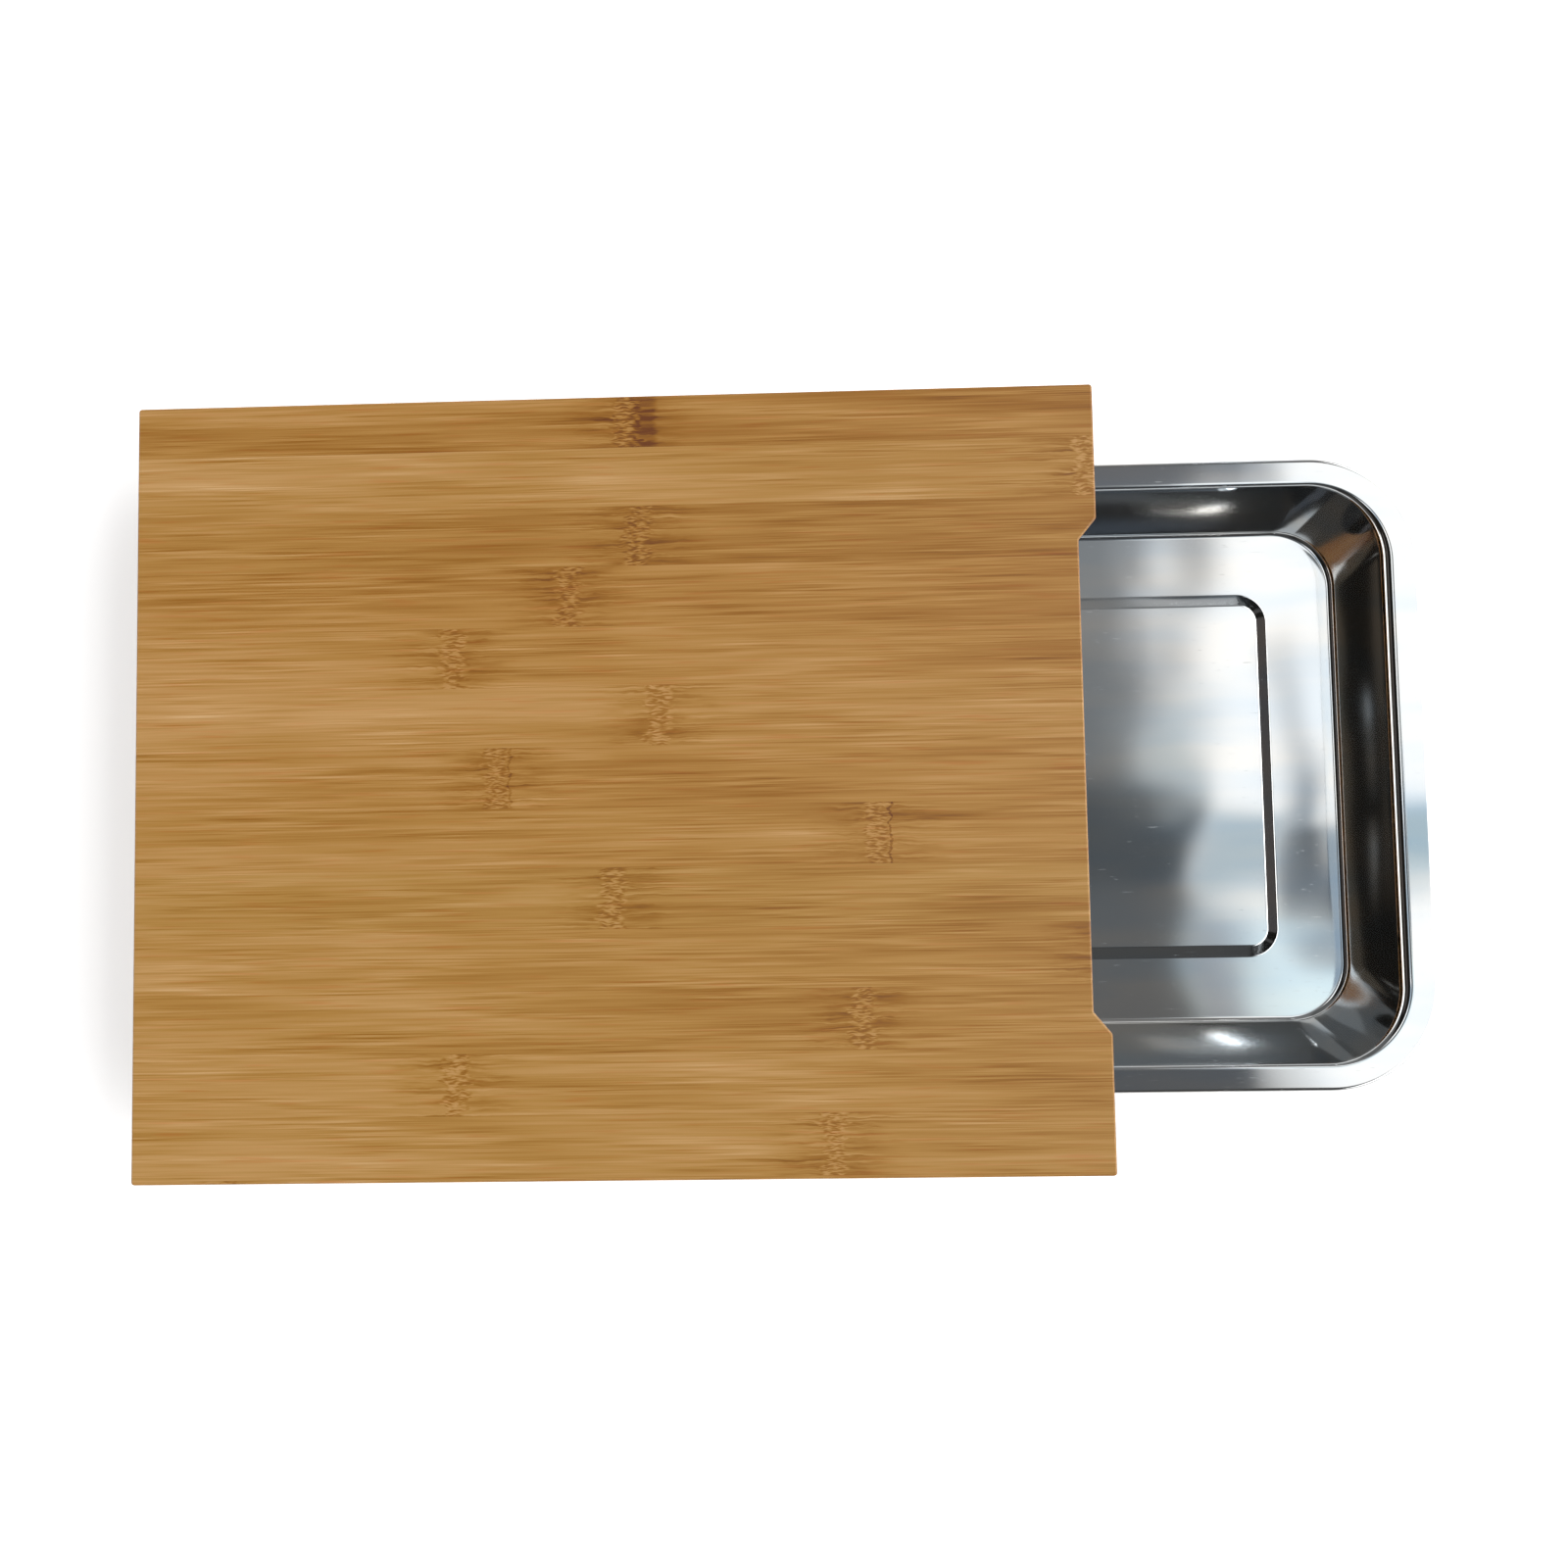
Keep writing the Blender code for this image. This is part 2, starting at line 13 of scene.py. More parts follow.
import bmesh
import bpy
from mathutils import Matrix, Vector


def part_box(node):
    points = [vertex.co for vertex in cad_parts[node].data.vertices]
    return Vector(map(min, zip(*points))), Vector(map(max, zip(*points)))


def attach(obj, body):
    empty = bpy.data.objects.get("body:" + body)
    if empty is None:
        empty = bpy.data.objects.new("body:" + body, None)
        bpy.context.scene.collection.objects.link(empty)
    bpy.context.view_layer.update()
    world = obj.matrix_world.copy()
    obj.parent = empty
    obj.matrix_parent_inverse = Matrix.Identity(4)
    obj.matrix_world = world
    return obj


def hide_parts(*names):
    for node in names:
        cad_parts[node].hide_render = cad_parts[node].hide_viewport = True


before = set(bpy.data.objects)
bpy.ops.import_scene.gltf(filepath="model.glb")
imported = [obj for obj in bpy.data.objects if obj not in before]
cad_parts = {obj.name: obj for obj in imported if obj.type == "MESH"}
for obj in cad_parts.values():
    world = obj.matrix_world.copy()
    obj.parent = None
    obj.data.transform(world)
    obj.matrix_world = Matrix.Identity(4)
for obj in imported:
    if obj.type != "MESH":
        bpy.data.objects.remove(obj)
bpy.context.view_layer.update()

LOG = logging.getLogger("cutting_board")
MM = 0.001

MATH, VECTOR_MATH, MAP_RANGE = "ShaderNodeMath", "ShaderNodeVectorMath", "ShaderNodeMapRange"
NOISE, RAMP, MIX = "ShaderNodeTexNoise", "ShaderNodeValToRGB", "ShaderNodeMix"

Socket = bpy.types.NodeSocket
Tree = bpy.types.NodeTree
Colour = tuple[float, float, float, float]
Point2 = tuple[float, float]


def linear(hex_colour: str) -> Colour:
    """Turns an sRGB hex colour into linear light.

    Args:
        hex_colour: Six hex digits after a hash sign.

    Returns:
        Red, green, blue and an alpha of 1.
    """
    shares = [int(hex_colour[i : i + 2], 16) / 255 for i in (1, 3, 5)]
    light = [s / 12.92 if s <= 0.04045 else ((s + 0.055) / 1.055) ** 2.4 for s in shares]
    return (light[0], light[1], light[2], 1.0)


def add_node(
    tree: Tree,
    kind: str,
    inputs: tuple | dict[Any, Any] = (),
    output: int = 0,
    stops: tuple[tuple[float, Colour], ...] = (),
    steps: bool = False,
    **settings: Any,
) -> Socket:
    """Adds a node with its settings, values and links.

    Args:
        tree: The node tree that gets the node.
        kind: The node's type name.
        inputs: Values or source sockets, in the inputs' order or keyed by their names.
        output: Which of the node's outputs is wanted.
        stops: Places and colours along a colour ramp, its two ends first.
        steps: Whether the ramp steps from stop to stop.
        **settings: Properties of the node, set before its inputs.

    Returns:
        The wanted output socket.
    """
    node = tree.nodes.new(kind)
    for name, value in settings.items():
        setattr(node, name, value)
    for i, (place, colour) in enumerate(stops):
        ramp = node.color_ramp
        ramp.interpolation = "CONSTANT" if steps else "LINEAR"
        stop = ramp.elements[0] if i == 0 else ramp.elements[-1] if i == 1 else ramp.elements.new(place)
        stop.position, stop.color = place, colour
    for name, value in inputs.items() if isinstance(inputs, dict) else enumerate(inputs):
        if isinstance(value, Socket):
            tree.links.new(value, node.inputs[name])
        elif value is not None:
            node.inputs[name].default_value = value
    return node.outputs[output]


class Layup(Enum):
    """Axes that a bamboo piece's strips run along, lie side by side across, and are layered through."""

    BOARD = ("X", "Y", "Z")
    SIDE_RAIL = ("X", "Z", "Y")
    END_RAIL = ("Y", "Z", "X")


class Grain(Enum):
    """Axis that a turned piece's grain runs along."""

    LENGTHWISE = "X"
    CROSSWISE = "Y"
    UPRIGHT = "Z"


@dataclass(frozen=True)
class Finish:
    """A surface finish, which is one material.

    Attributes:
        name: The material's name.
    """

    name: str

    def material(self) -> bpy.types.Material:
        """Makes the material, or finds it where it is made already.

        Returns:
            The painted material.
        """
        found = bpy.data.materials.get(self.name)
        if found:
            return found
        made = bpy.data.materials.new(self.name)
        made.use_nodes = True
        self.paint(made.node_tree, made.node_tree.nodes["Principled BSDF"])
        return made

    def paint(self, tree: Tree, shader: bpy.types.Node) -> None:
        """Adds the nodes that give the finish its look.

        Args:
            tree: The material's node tree.
            shader: Its Principled shader.
        """
        raise NotImplementedError

    def dress(self, nodes: tuple[str, ...]) -> None:
        """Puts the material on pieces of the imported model.

        Args:
            nodes: Their names.
        """
        for node in nodes:
            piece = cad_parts[node]
            piece.data.materials.clear()
            piece.data.materials.append(self.material())
            LOG.info("%s: %s", node, self.name)


@dataclass(frozen=True)
class Strip:
    """One strip of the board's top layer, in shares from 0 to 1.

    Attributes:
        ring: Place of its growth ring along the board, from the closed end.
        tone: How light it is.
        warmth: How red it is.
        scar: How plain the dark line beside its growth ring is; from 0.9 the ring has a dark patch instead.
    """

    ring: float
    tone: float
    warmth: float
    scar: float = 0.0


@dataclass(frozen=True)
class StripSpot:
    """Where a point lies in glued-up strips, as sockets of a node tree.

    Attributes:
        tree: The material's node tree.
        along: Place along the strips, in millimetres.
        across: Place across them, in millimetres.
        through: Place through their layers, in millimetres.
        seed: The strip's own seed.
    """

    tree: Tree
    along: Socket
    across: Socket
    through: Socket
    seed: Socket

    def fibres(self, sizes_mm: Point2, detail: float) -> Socket:
        """Noise drawn out along the strips.

        Args:
            sizes_mm: Length and width of a fibre.
            detail: How many finer layers the noise has.

        Returns:
            A share from 0 to 1, a half on average.
        """
        length, width = sizes_mm
        joined = add_node(self.tree, "ShaderNodeCombineXYZ", (self.along, self.across, self.through))
        spread = (1 / length, 1 / width, 1 / width)
        own = add_node(self.tree, "ShaderNodeCombineXYZ", (self.seed, self.seed, self.seed))
        vector = add_node(self.tree, VECTOR_MATH, (joined, spread, own), operation="MULTIPLY_ADD")
        return add_node(self.tree, NOISE, {"Vector": vector, "Scale": 1.0, "Detail": detail, "Roughness": 0.6})


@dataclass(frozen=True)
class GrowthRing:
    """The growth ring that crosses a strip, as sockets of a node tree.

    Attributes:
        ragged: Noise that makes its edges ragged.
        swing: How far its edges swing, in millimetres.
        beside: Distance along the strip from its middle, with a sign, in millimetres.
        core: How much of the ring a point is in.
        halo: How near to the ring it is.
    """

    ragged: Socket
    swing: Socket
    beside: Socket
    core: Socket
    halo: Socket


@dataclass(frozen=True)
class OiledBamboo(Finish):
    """Planed and oiled bamboo, glued up from strips.

    It gives the eye thin dark dashes in long straight fibres, strips of slightly unlike
    tone, and a ragged band of curls where the growth ring crosses each strip.

    Attributes:
        layup: How the strips are laid.
        strip_mm: Width of a strip.
        layer_mm: Thickness of a layer of strips.
        first_edge_mm: Place of the first strip's outer edge.
        first_layer_mm: Place of the outer layer's outer face.
        start_mm: Place of the strips' first end.
        length_mm: Their length.
        strips: The strips of the outer layer, where they are chosen one by one.
    """

    layup: Layup
    strip_mm: float
    layer_mm: float
    first_edge_mm: float
    first_layer_mm: float
    start_mm: float
    length_mm: float
    strips: tuple[Strip, ...] = ()

    TONES = (
        (0.0, linear("#6A390F")),
        (1.0, linear("#D5B180")),
        (0.26, linear("#95641C")),
        (0.5, linear("#AE823F")),
        (0.74, linear("#C1975E")),
    )

    # Length and width of the fibres of each pattern, in millimetres.
    CLOUDS, BUNDLES, DASHES, CROWDS = (90.0, 9.0), (95.0, 1.5), (34.0, 0.6), (40.0, 4.5)
    RAGS, STREAKS, SWERVES, CURLS, FLUSHES = (9.0, 2.4), (26.0, 1.8), (3.2, 2.6), (3.0, 0.55), (24.0, 1.2)

    # The share of a strip that each layer is shifted by, and the steps between the seeds of layers and strips.
    LAYER_SHIFT, LAYER_SEED, STRIP_SEED = 0.43, 3.17, 7.31

    # How far the ring's edges and the fibres near it swing, and where the ring and its halo fade.
    SWING_MM, WANDER_MM = 14.0, 2.4
    CORE_MM, HALO_MM = (2.6, 5.4), (3.0, 28.0)

    # The least scar that is a patch, the width that a glue line is drawn at, and the height of the relief.
    PATCH_FROM, GLUE_MM, RELIEF_MM = 0.9, 0.2, 0.04

    def places(self, tree: Tree) -> list[Socket]:
        """Finds where a point lies in the lay-up.

        Args:
            tree: The material's node tree.

        Returns:
            Its places along, across and through the strips, in millimetres.
        """
        spot = add_node(tree, "ShaderNodeTexCoord", output=3)
        scaled = add_node(tree, VECTOR_MATH, {0: spot, "Scale": 1 / MM}, operation="SCALE")
        axes = add_node(tree, "ShaderNodeSeparateXYZ", (scaled,)).node.outputs
        return [axes[letter] for letter in self.layup.value]

    def strip_facts(
        self, tree: Tree, across: Socket, through: Socket
    ) -> tuple[Socket, Socket, Socket, Socket | float]:
        """Finds which strip a point is in, and what that strip is like.

        Args:
            tree: The material's node tree.
            across: Place across the strips.
            through: Place through the layers.

        Returns:
            The strip's own seed, the point's share within the strip, the strip's ring, tone
            and warmth as a colour, and its scar.
        """
        depth = (through, -1 / self.layer_mm, self.first_layer_mm / self.layer_mm)
        layer = add_node(tree, MATH, (add_node(tree, MATH, depth, operation="MULTIPLY_ADD"),), operation="FLOOR")
        lane = (across, -1 / self.strip_mm, self.first_edge_mm / self.strip_mm)
        lane = add_node(tree, MATH, lane, operation="MULTIPLY_ADD")
        shifted = add_node(tree, MATH, (layer, self.LAYER_SHIFT, lane), operation="MULTIPLY_ADD")
        strip = add_node(tree, MATH, (shifted,), operation="FLOOR")
        within = add_node(tree, MATH, (shifted,), operation="FRACT")
        seed = add_node(tree, MATH, (strip, self.STRIP_SEED), operation="MULTIPLY")
        seed = add_node(tree, MATH, (layer, self.LAYER_SEED, seed), operation="MULTIPLY_ADD")
        if not self.strips:
            drawn = add_node(tree, "ShaderNodeTexWhiteNoise", {"W": seed}, output=1, noise_dimensions="1D")
            calm = {1: (0.0, 0.7, 0.7), 4: drawn, 5: (0.5, 0.5, 0.5)}
            facts = add_node(tree, MIX, calm, output=1, data_type="VECTOR", factor_mode="NON_UNIFORM")
            return seed, within, facts, 0.0
        count = len(self.strips)
        rows = [(i / count, (s.ring, s.tone, s.warmth, s.scar)) for i, s in enumerate(self.strips)]
        share = add_node(tree, MATH, (strip, 1 / count, 0.5 / count), operation="MULTIPLY_ADD")
        facts = add_node(tree, RAMP, (share,), stops=(rows[0], rows[-1], *rows[1:-1]), steps=True)
        return seed, within, facts, facts.node.outputs["Alpha"]

    def growth_ring(self, spot: StripSpot, place: Socket) -> GrowthRing:
        """A ragged band about 10 mm long, with a halo that reaches 28 mm either way.

        Args:
            spot: Where the point lies.
            place: Share of the strip's length that the ring stands at.

        Returns:
            The ring.
        """
        tree = spot.tree
        place = add_node(tree, MATH, (place, self.length_mm, self.start_mm), operation="MULTIPLY_ADD")
        ragged = spot.fibres(self.RAGS, 2.0)
        swing = add_node(tree, MATH, (ragged, self.SWING_MM, -self.SWING_MM / 2), operation="MULTIPLY_ADD")
        beside = add_node(tree, MATH, (spot.along, place), operation="SUBTRACT")
        away = add_node(tree, MATH, (beside, swing), operation="ADD")
        away = add_node(tree, MATH, (away,), operation="ABSOLUTE")
        core = add_node(tree, MAP_RANGE, (away, *self.CORE_MM, 0.85, 0.0), interpolation_type="SMOOTHSTEP")
        halo = add_node(tree, MAP_RANGE, (away, *self.HALO_MM, 1.0, 0.0), interpolation_type="SMOOTHSTEP")
        return GrowthRing(ragged, swing, beside, core, halo)

    def fibre_level(self, spot: StripSpot, bent: StripSpot, tone: Socket, bundles: Socket) -> Socket:
        """How light the fibres are. The strips darken towards the open end as painted shade, and dashes stand in
        crowds.

        Args:
            spot: Where the point lies.
            bent: The same in fibres that wander.
            tone: How light the strip is.
            bundles: The long bundles of fibres.

        Returns:
            The place in the range of tones.
        """
        tree = spot.tree
        # Painted shade: the level falls along the strips towards the open end, standing in for light that falls
        # off that way.
        level = add_node(tree, MATH, (spot.along, -0.15 / self.length_mm, tone), operation="MULTIPLY_ADD")
        level = add_node(tree, MATH, (level, 0.48), operation="SUBTRACT")
        level = add_node(tree, MATH, (bent.fibres(self.CLOUDS, 1.0), 0.42, level), operation="MULTIPLY_ADD")
        level = add_node(tree, MATH, (bundles, 0.48, level), operation="MULTIPLY_ADD")
        dashes = add_node(tree, MATH, (bent.fibres(self.DASHES, 1.0), 0.5), operation="SUBTRACT")
        crowds = add_node(tree, MAP_RANGE, (spot.fibres(self.CROWDS, 0.0), 0.36, 0.66, 0.25, 0.85))
        return add_node(tree, MATH, (dashes, crowds, level), operation="MULTIPLY_ADD")

    def scarred(self, tree: Tree, ring: GrowthRing, scar: Socket | float, level: Socket) -> Socket:
        """Adds what may stand beside the ring: a dark line 0.8 mm thick, or a dark patch 8 mm long.

        Args:
            tree: The material's node tree.
            ring: The growth ring.
            scar: The strip's scar.
            level: The place in the range of tones.

        Returns:
            The place with the scar.
        """
        shaken = add_node(tree, MATH, (ring.swing, 0.4, ring.beside), operation="MULTIPLY_ADD")
        line = add_node(tree, MATH, (shaken, 4.6, 0.4), operation="COMPARE")
        lined = add_node(tree, MATH, (scar, self.PATCH_FROM), operation="LESS_THAN")
        lined = add_node(tree, MATH, (lined, scar), operation="MULTIPLY")
        lined = add_node(tree, MATH, (line, lined), operation="MULTIPLY")
        level = add_node(tree, MATH, (lined, -0.3, level), operation="MULTIPLY_ADD")
        off = add_node(tree, MATH, (shaken, 5.8), operation="SUBTRACT")
        off = add_node(tree, MATH, (off,), operation="ABSOLUTE")
        patch = add_node(tree, MAP_RANGE, (off, *self.CORE_MM, 0.2, 0.0), interpolation_type="SMOOTHSTEP")
        patched = add_node(tree, MATH, (scar, self.PATCH_FROM), operation="GREATER_THAN")
        patched = add_node(tree, MATH, (patched, patch), operation="MULTIPLY")
        return add_node(tree, MATH, (level, patched), operation="SUBTRACT")

    def tinted(self, spot: StripSpot, ring: GrowthRing, warmth: Socket, ground: Socket) -> Socket:
        """Reddens some strips and short streaks, and darkens end grain, which drinks more oil.

        Args:
            spot: Where the point lies.
            ring: The growth ring.
            warmth: How red the strip is.
            ground: The colour so far.

        Returns:
            The finished colour.
        """
        tree = spot.tree
        flush = add_node(tree, MAP_RANGE, (spot.fibres(self.FLUSHES, 1.0), 0.60, 0.76, 0.0, 0.8))
        flush = add_node(tree, MATH, (flush, warmth), operation="ADD")
        flush = add_node(tree, MATH, (ring.core, 0.1, flush), operation="MULTIPLY_ADD")
        facing = add_node(tree, "ShaderNodeTexCoord", output=1)
        faces = add_node(tree, "ShaderNodeSeparateXYZ", (facing,)).node.outputs
        end_on = add_node(tree, MATH, (faces[self.layup.value[0]],), operation="ABSOLUTE")
        end_on = add_node(tree, MAP_RANGE, (end_on, 0.6, 0.9, 0.0, 0.75))
        colour = ground
        for share, stain in ((flush, "#FFE9DC"), (end_on, "#B89A7C")):
            stained = {0: 1.0, 6: colour, 7: linear(stain)}
            stained = add_node(tree, MIX, stained, output=2, data_type="RGBA", blend_type="MULTIPLY")
            colour = add_node(tree, MIX, {0: share, 6: colour, 7: stained}, output=2, data_type="RGBA")
        return colour

    def paint(self, tree: Tree, shader: bpy.types.Node) -> None:
        """Adds strips, fibres, growth rings, glue lines and end grain.

        Args:
            tree: The material's node tree.
            shader: Its Principled shader.
        """
        along, across, through = self.places(tree)
        seed, within, facts, scar = self.strip_facts(tree, across, through)
        place, tone, warmth = add_node(tree, "ShaderNodeSeparateColor", (facts,)).node.outputs[:3]
        spot = StripSpot(tree, along, across, through, seed)
        ring = self.growth_ring(spot, place)

        # Near the ring the fibres wander sideways by about a millimetre.
        sway = add_node(tree, MATH, (ring.ragged, self.WANDER_MM, -self.WANDER_MM / 2), operation="MULTIPLY_ADD")
        sway = add_node(tree, MATH, (ring.halo, sway), operation="MULTIPLY")
        bent = replace(spot, across=add_node(tree, MATH, (across, sway), operation="ADD"))
        bundles = bent.fibres(self.BUNDLES, 2.0)
        level = self.fibre_level(spot, bent, tone, bundles)

        # Brown streaks run out of the ring, which itself is short curls, light on dark.
        streaks = add_node(tree, MAP_RANGE, (bent.fibres(self.STREAKS, 2.0), 0.58, 0.40, 0.03, 0.24))
        streaks = add_node(tree, MATH, (ring.halo, streaks), operation="MULTIPLY")
        level = add_node(tree, MATH, (level, streaks), operation="SUBTRACT")
        wavy = add_node(tree, MATH, (spot.fibres(self.SWERVES, 0.0), across), operation="ADD")
        curls = replace(spot, across=wavy).fibres(self.CURLS, 1.0)
        curled = add_node(tree, MAP_RANGE, (curls, 0.40, 0.62, -0.34, 0.17))
        curled = add_node(tree, MATH, (curled, tone), operation="ADD")
        level = add_node(tree, MIX, {0: ring.core, 2: level, 3: curled}, data_type="FLOAT")
        level = self.scarred(tree, ring, scar, level)

        # A glue line is a tenth of a millimetre, drawn at twice that so that it shows.
        edge = add_node(tree, MATH, (within, 0.5), operation="SUBTRACT")
        edge = add_node(tree, MATH, (edge,), operation="ABSOLUTE")
        glue = add_node(tree, MAP_RANGE, (edge, 0.5 - self.GLUE_MM / self.strip_mm, 0.5, 0.0, 0.14))
        level = add_node(tree, MATH, (level, glue), operation="SUBTRACT")
        ground = add_node(tree, RAMP, (level,), stops=self.TONES)
        tree.links.new(self.tinted(spot, ring, warmth, ground), shader.inputs["Base Color"])

        relief = add_node(tree, MATH, (curls, 1.5), operation="MULTIPLY")
        relief = add_node(tree, MATH, (ring.core, relief, bundles), operation="MULTIPLY_ADD")
        bump = {"Strength": 0.5, "Distance": self.RELIEF_MM * MM, "Height": relief}
        tree.links.new(add_node(tree, "ShaderNodeBump", bump), shader.inputs["Normal"])
        gloss = add_node(tree, MAP_RANGE, (bundles, 0.3, 0.7, 0.46, 0.56))
        tree.links.new(gloss, shader.inputs["Roughness"])
        shader.inputs["IOR"].default_value = 1.48


@dataclass(frozen=True)
class BrightRolledStainless(Finish):
    """Stainless sheet, bright rolled and deep drawn.

    It gives the eye a nearly clear mirror, a little uneven from the press, with broad
    bands of faint tint along X and a few short scuffs.
    """

    # Length and width of a band and of a scuff, and the spacing and height of the waves and of the pits.
    BAND_MM, SCUFF_MM = (70.0, 16.0), (5.0, 0.5)
    WAVE_MM, WAVE_HEIGHT_MM = 55.0, 0.7
    PIT_SPACING_MM, PIT_DEPTH_MM = 34.0, 0.04

    def paint(self, tree: Tree, shader: bpy.types.Node) -> None:
        """Adds bands of tint, scuffs, waves and pits.

        Args:
            tree: The material's node tree.
            shader: Its Principled shader.
        """
        spot = add_node(tree, "ShaderNodeTexCoord", output=3)
        mm = add_node(tree, VECTOR_MATH, {0: spot, "Scale": 1 / MM}, operation="SCALE")

        # The sheet's colour drifts in broad soft bands along X, the way it was rolled.
        length, width = self.BAND_MM
        bands = add_node(tree, VECTOR_MATH, (mm, (1 / length, 1 / width, 1 / width)), operation="MULTIPLY")
        drift = add_node(tree, NOISE, {"Vector": bands, "Scale": 1.0, "Detail": 2.0})
        tint = add_node(tree, RAMP, (drift,), stops=((0.35, linear("#C3CACF")), (0.65, linear("#D2D1CE"))))
        tree.links.new(tint, shader.inputs["Base Color"])
        length, width = self.SCUFF_MM
        scuffs = add_node(tree, VECTOR_MATH, (mm, (1 / length, 1 / width, 1 / width)), operation="MULTIPLY")
        hairline = add_node(tree, NOISE, {"Vector": scuffs, "Scale": 1.0, "Detail": 1.0, "Distortion": 0.4})
        hair = add_node(tree, MAP_RANGE, (hairline, 0.70, 0.80, 0.07, 0.20), interpolation_type="SMOOTHSTEP")
        tree.links.new(hair, shader.inputs["Roughness"])
        shader.inputs["Metallic"].default_value = 1.0

        # The waves are slack on level sheet and drawn tight on the walls.
        waves = add_node(tree, NOISE, {"Vector": mm, "Scale": 1 / self.WAVE_MM, "Detail": 1.0, "Roughness": 0.35})
        facing = add_node(tree, "ShaderNodeTexCoord", output=1)
        level = add_node(tree, "ShaderNodeSeparateXYZ", (facing,), output=2)
        slack = add_node(tree, MAP_RANGE, (level, 0.4, 0.95, 0.2, 1.0))
        bump = {"Strength": slack, "Distance": self.WAVE_HEIGHT_MM * MM, "Height": waves}
        wavy = add_node(tree, "ShaderNodeBump", bump)
        cells = add_node(tree, "ShaderNodeTexVoronoi", {"Vector": mm, "Scale": 1 / self.PIT_SPACING_MM})
        pit = add_node(tree, MAP_RANGE, (cells, 0.0, 0.04, 1.0, 0.0), interpolation_type="SMOOTHSTEP")
        bump = {"Strength": 0.5, "Distance": self.PIT_DEPTH_MM * MM, "Height": pit, "Normal": wavy}
        tree.links.new(add_node(tree, "ShaderNodeBump", bump), shader.inputs["Normal"])


@dataclass(frozen=True)
class ZincPlatedSteel(Finish):
    """Cold-headed steel, bright zinc plated.

    It gives the eye a soft grey gloss, clouded by the plating bath.
    """

    CLOUD_MM = 1.2  # size of a cloud

    def paint(self, tree: Tree, shader: bpy.types.Node) -> None:
        """Adds the plating's clouds.

        Args:
            tree: The material's node tree.
            shader: Its Principled shader.
        """
        spot = add_node(tree, "ShaderNodeTexCoord", output=3)
        clouds = add_node(tree, NOISE, {"Vector": spot, "Scale": 1 / (self.CLOUD_MM * MM), "Detail": 3.0})
        tint = add_node(tree, RAMP, (clouds,), stops=((0.35, linear("#AEB4BA")), (0.65, linear("#CDCFC8"))))
        tree.links.new(tint, shader.inputs["Base Color"])
        gloss = add_node(tree, MAP_RANGE, (clouds, 0.3, 0.7, 0.26, 0.42))
        tree.links.new(gloss, shader.inputs["Roughness"])
        shader.inputs["Metallic"].default_value = 1.0


@dataclass(frozen=True)
class MouldedRubber(Finish):
    """Black rubber, compression moulded.

    It gives the eye a dull near-black with a fine grit from the mould.
    """

    # Size and height of a grain of the grit, and size of a patch of bloom.
    GRIT_MM, GRIT_HEIGHT_MM, BLOOM_MM = 0.35, 0.05, 4.0

    def paint(self, tree: Tree, shader: bpy.types.Node) -> None:
        """Adds the mould's grit and a greyish bloom.

        Args:
            tree: The material's node tree.
            shader: Its Principled shader.
        """
        spot = add_node(tree, "ShaderNodeTexCoord", output=3)
        grit = add_node(tree, NOISE, {"Vector": spot, "Scale": 1 / (self.GRIT_MM * MM), "Detail": 2.0})
        bloom = add_node(tree, NOISE, {"Vector": spot, "Scale": 1 / (self.BLOOM_MM * MM), "Detail": 2.0})
        tint = add_node(tree, RAMP, (bloom,), stops=((0.35, linear("#17181A")), (0.7, linear("#26272A"))))
        tree.links.new(tint, shader.inputs["Base Color"])
        bump = {"Strength": 0.4, "Distance": self.GRIT_HEIGHT_MM * MM, "Height": grit}
        tree.links.new(add_node(tree, "ShaderNodeBump", bump), shader.inputs["Normal"])
        gloss = add_node(tree, MAP_RANGE, (grit, 0.3, 0.7, 0.7, 0.85))
        tree.links.new(gloss, shader.inputs["Roughness"])
        shader.inputs["IOR"].default_value = 1.52


@dataclass(frozen=True)
class TurnedBeech(Finish):
    """Bare beech dowel rod.

    It gives the eye a pale pinkish wood with short darker flecks along the grain.

    Attributes:
        grain: The axis that the grain runs along.
    """

    grain: Grain

    # Flecks in a millimetre, along the grain and across it.
    FLECKS_ALONG, FLECKS_ACROSS = 0.3, 2.5

    def paint(self, tree: Tree, shader: bpy.types.Node) -> None:
        """Adds grain and the flecks of the rays.

        Args:
            tree: The material's node tree.
            shader: Its Principled shader.
        """
        along, across = self.FLECKS_ALONG, self.FLECKS_ACROSS
        spread = [along if letter == self.grain.value else across for letter in "XYZ"]
        spot = add_node(tree, "ShaderNodeTexCoord", output=3)
        scaled = add_node(tree, VECTOR_MATH, (spot, [s / MM for s in spread]), operation="MULTIPLY")
        grain = add_node(tree, NOISE, {"Vector": scaled, "Scale": 1.0, "Detail": 3.0})
        stops = ((0.32, linear("#A5774F")), (0.68, linear("#D2AD84")), (0.45, linear("#C79E73")))
        tree.links.new(add_node(tree, RAMP, (grain,), stops=stops), shader.inputs["Base Color"])
        gloss = add_node(tree, MAP_RANGE, (grain, 0.3, 0.7, 0.55, 0.68))
        tree.links.new(gloss, shader.inputs["Roughness"])
        shader.inputs["IOR"].default_value = 1.5


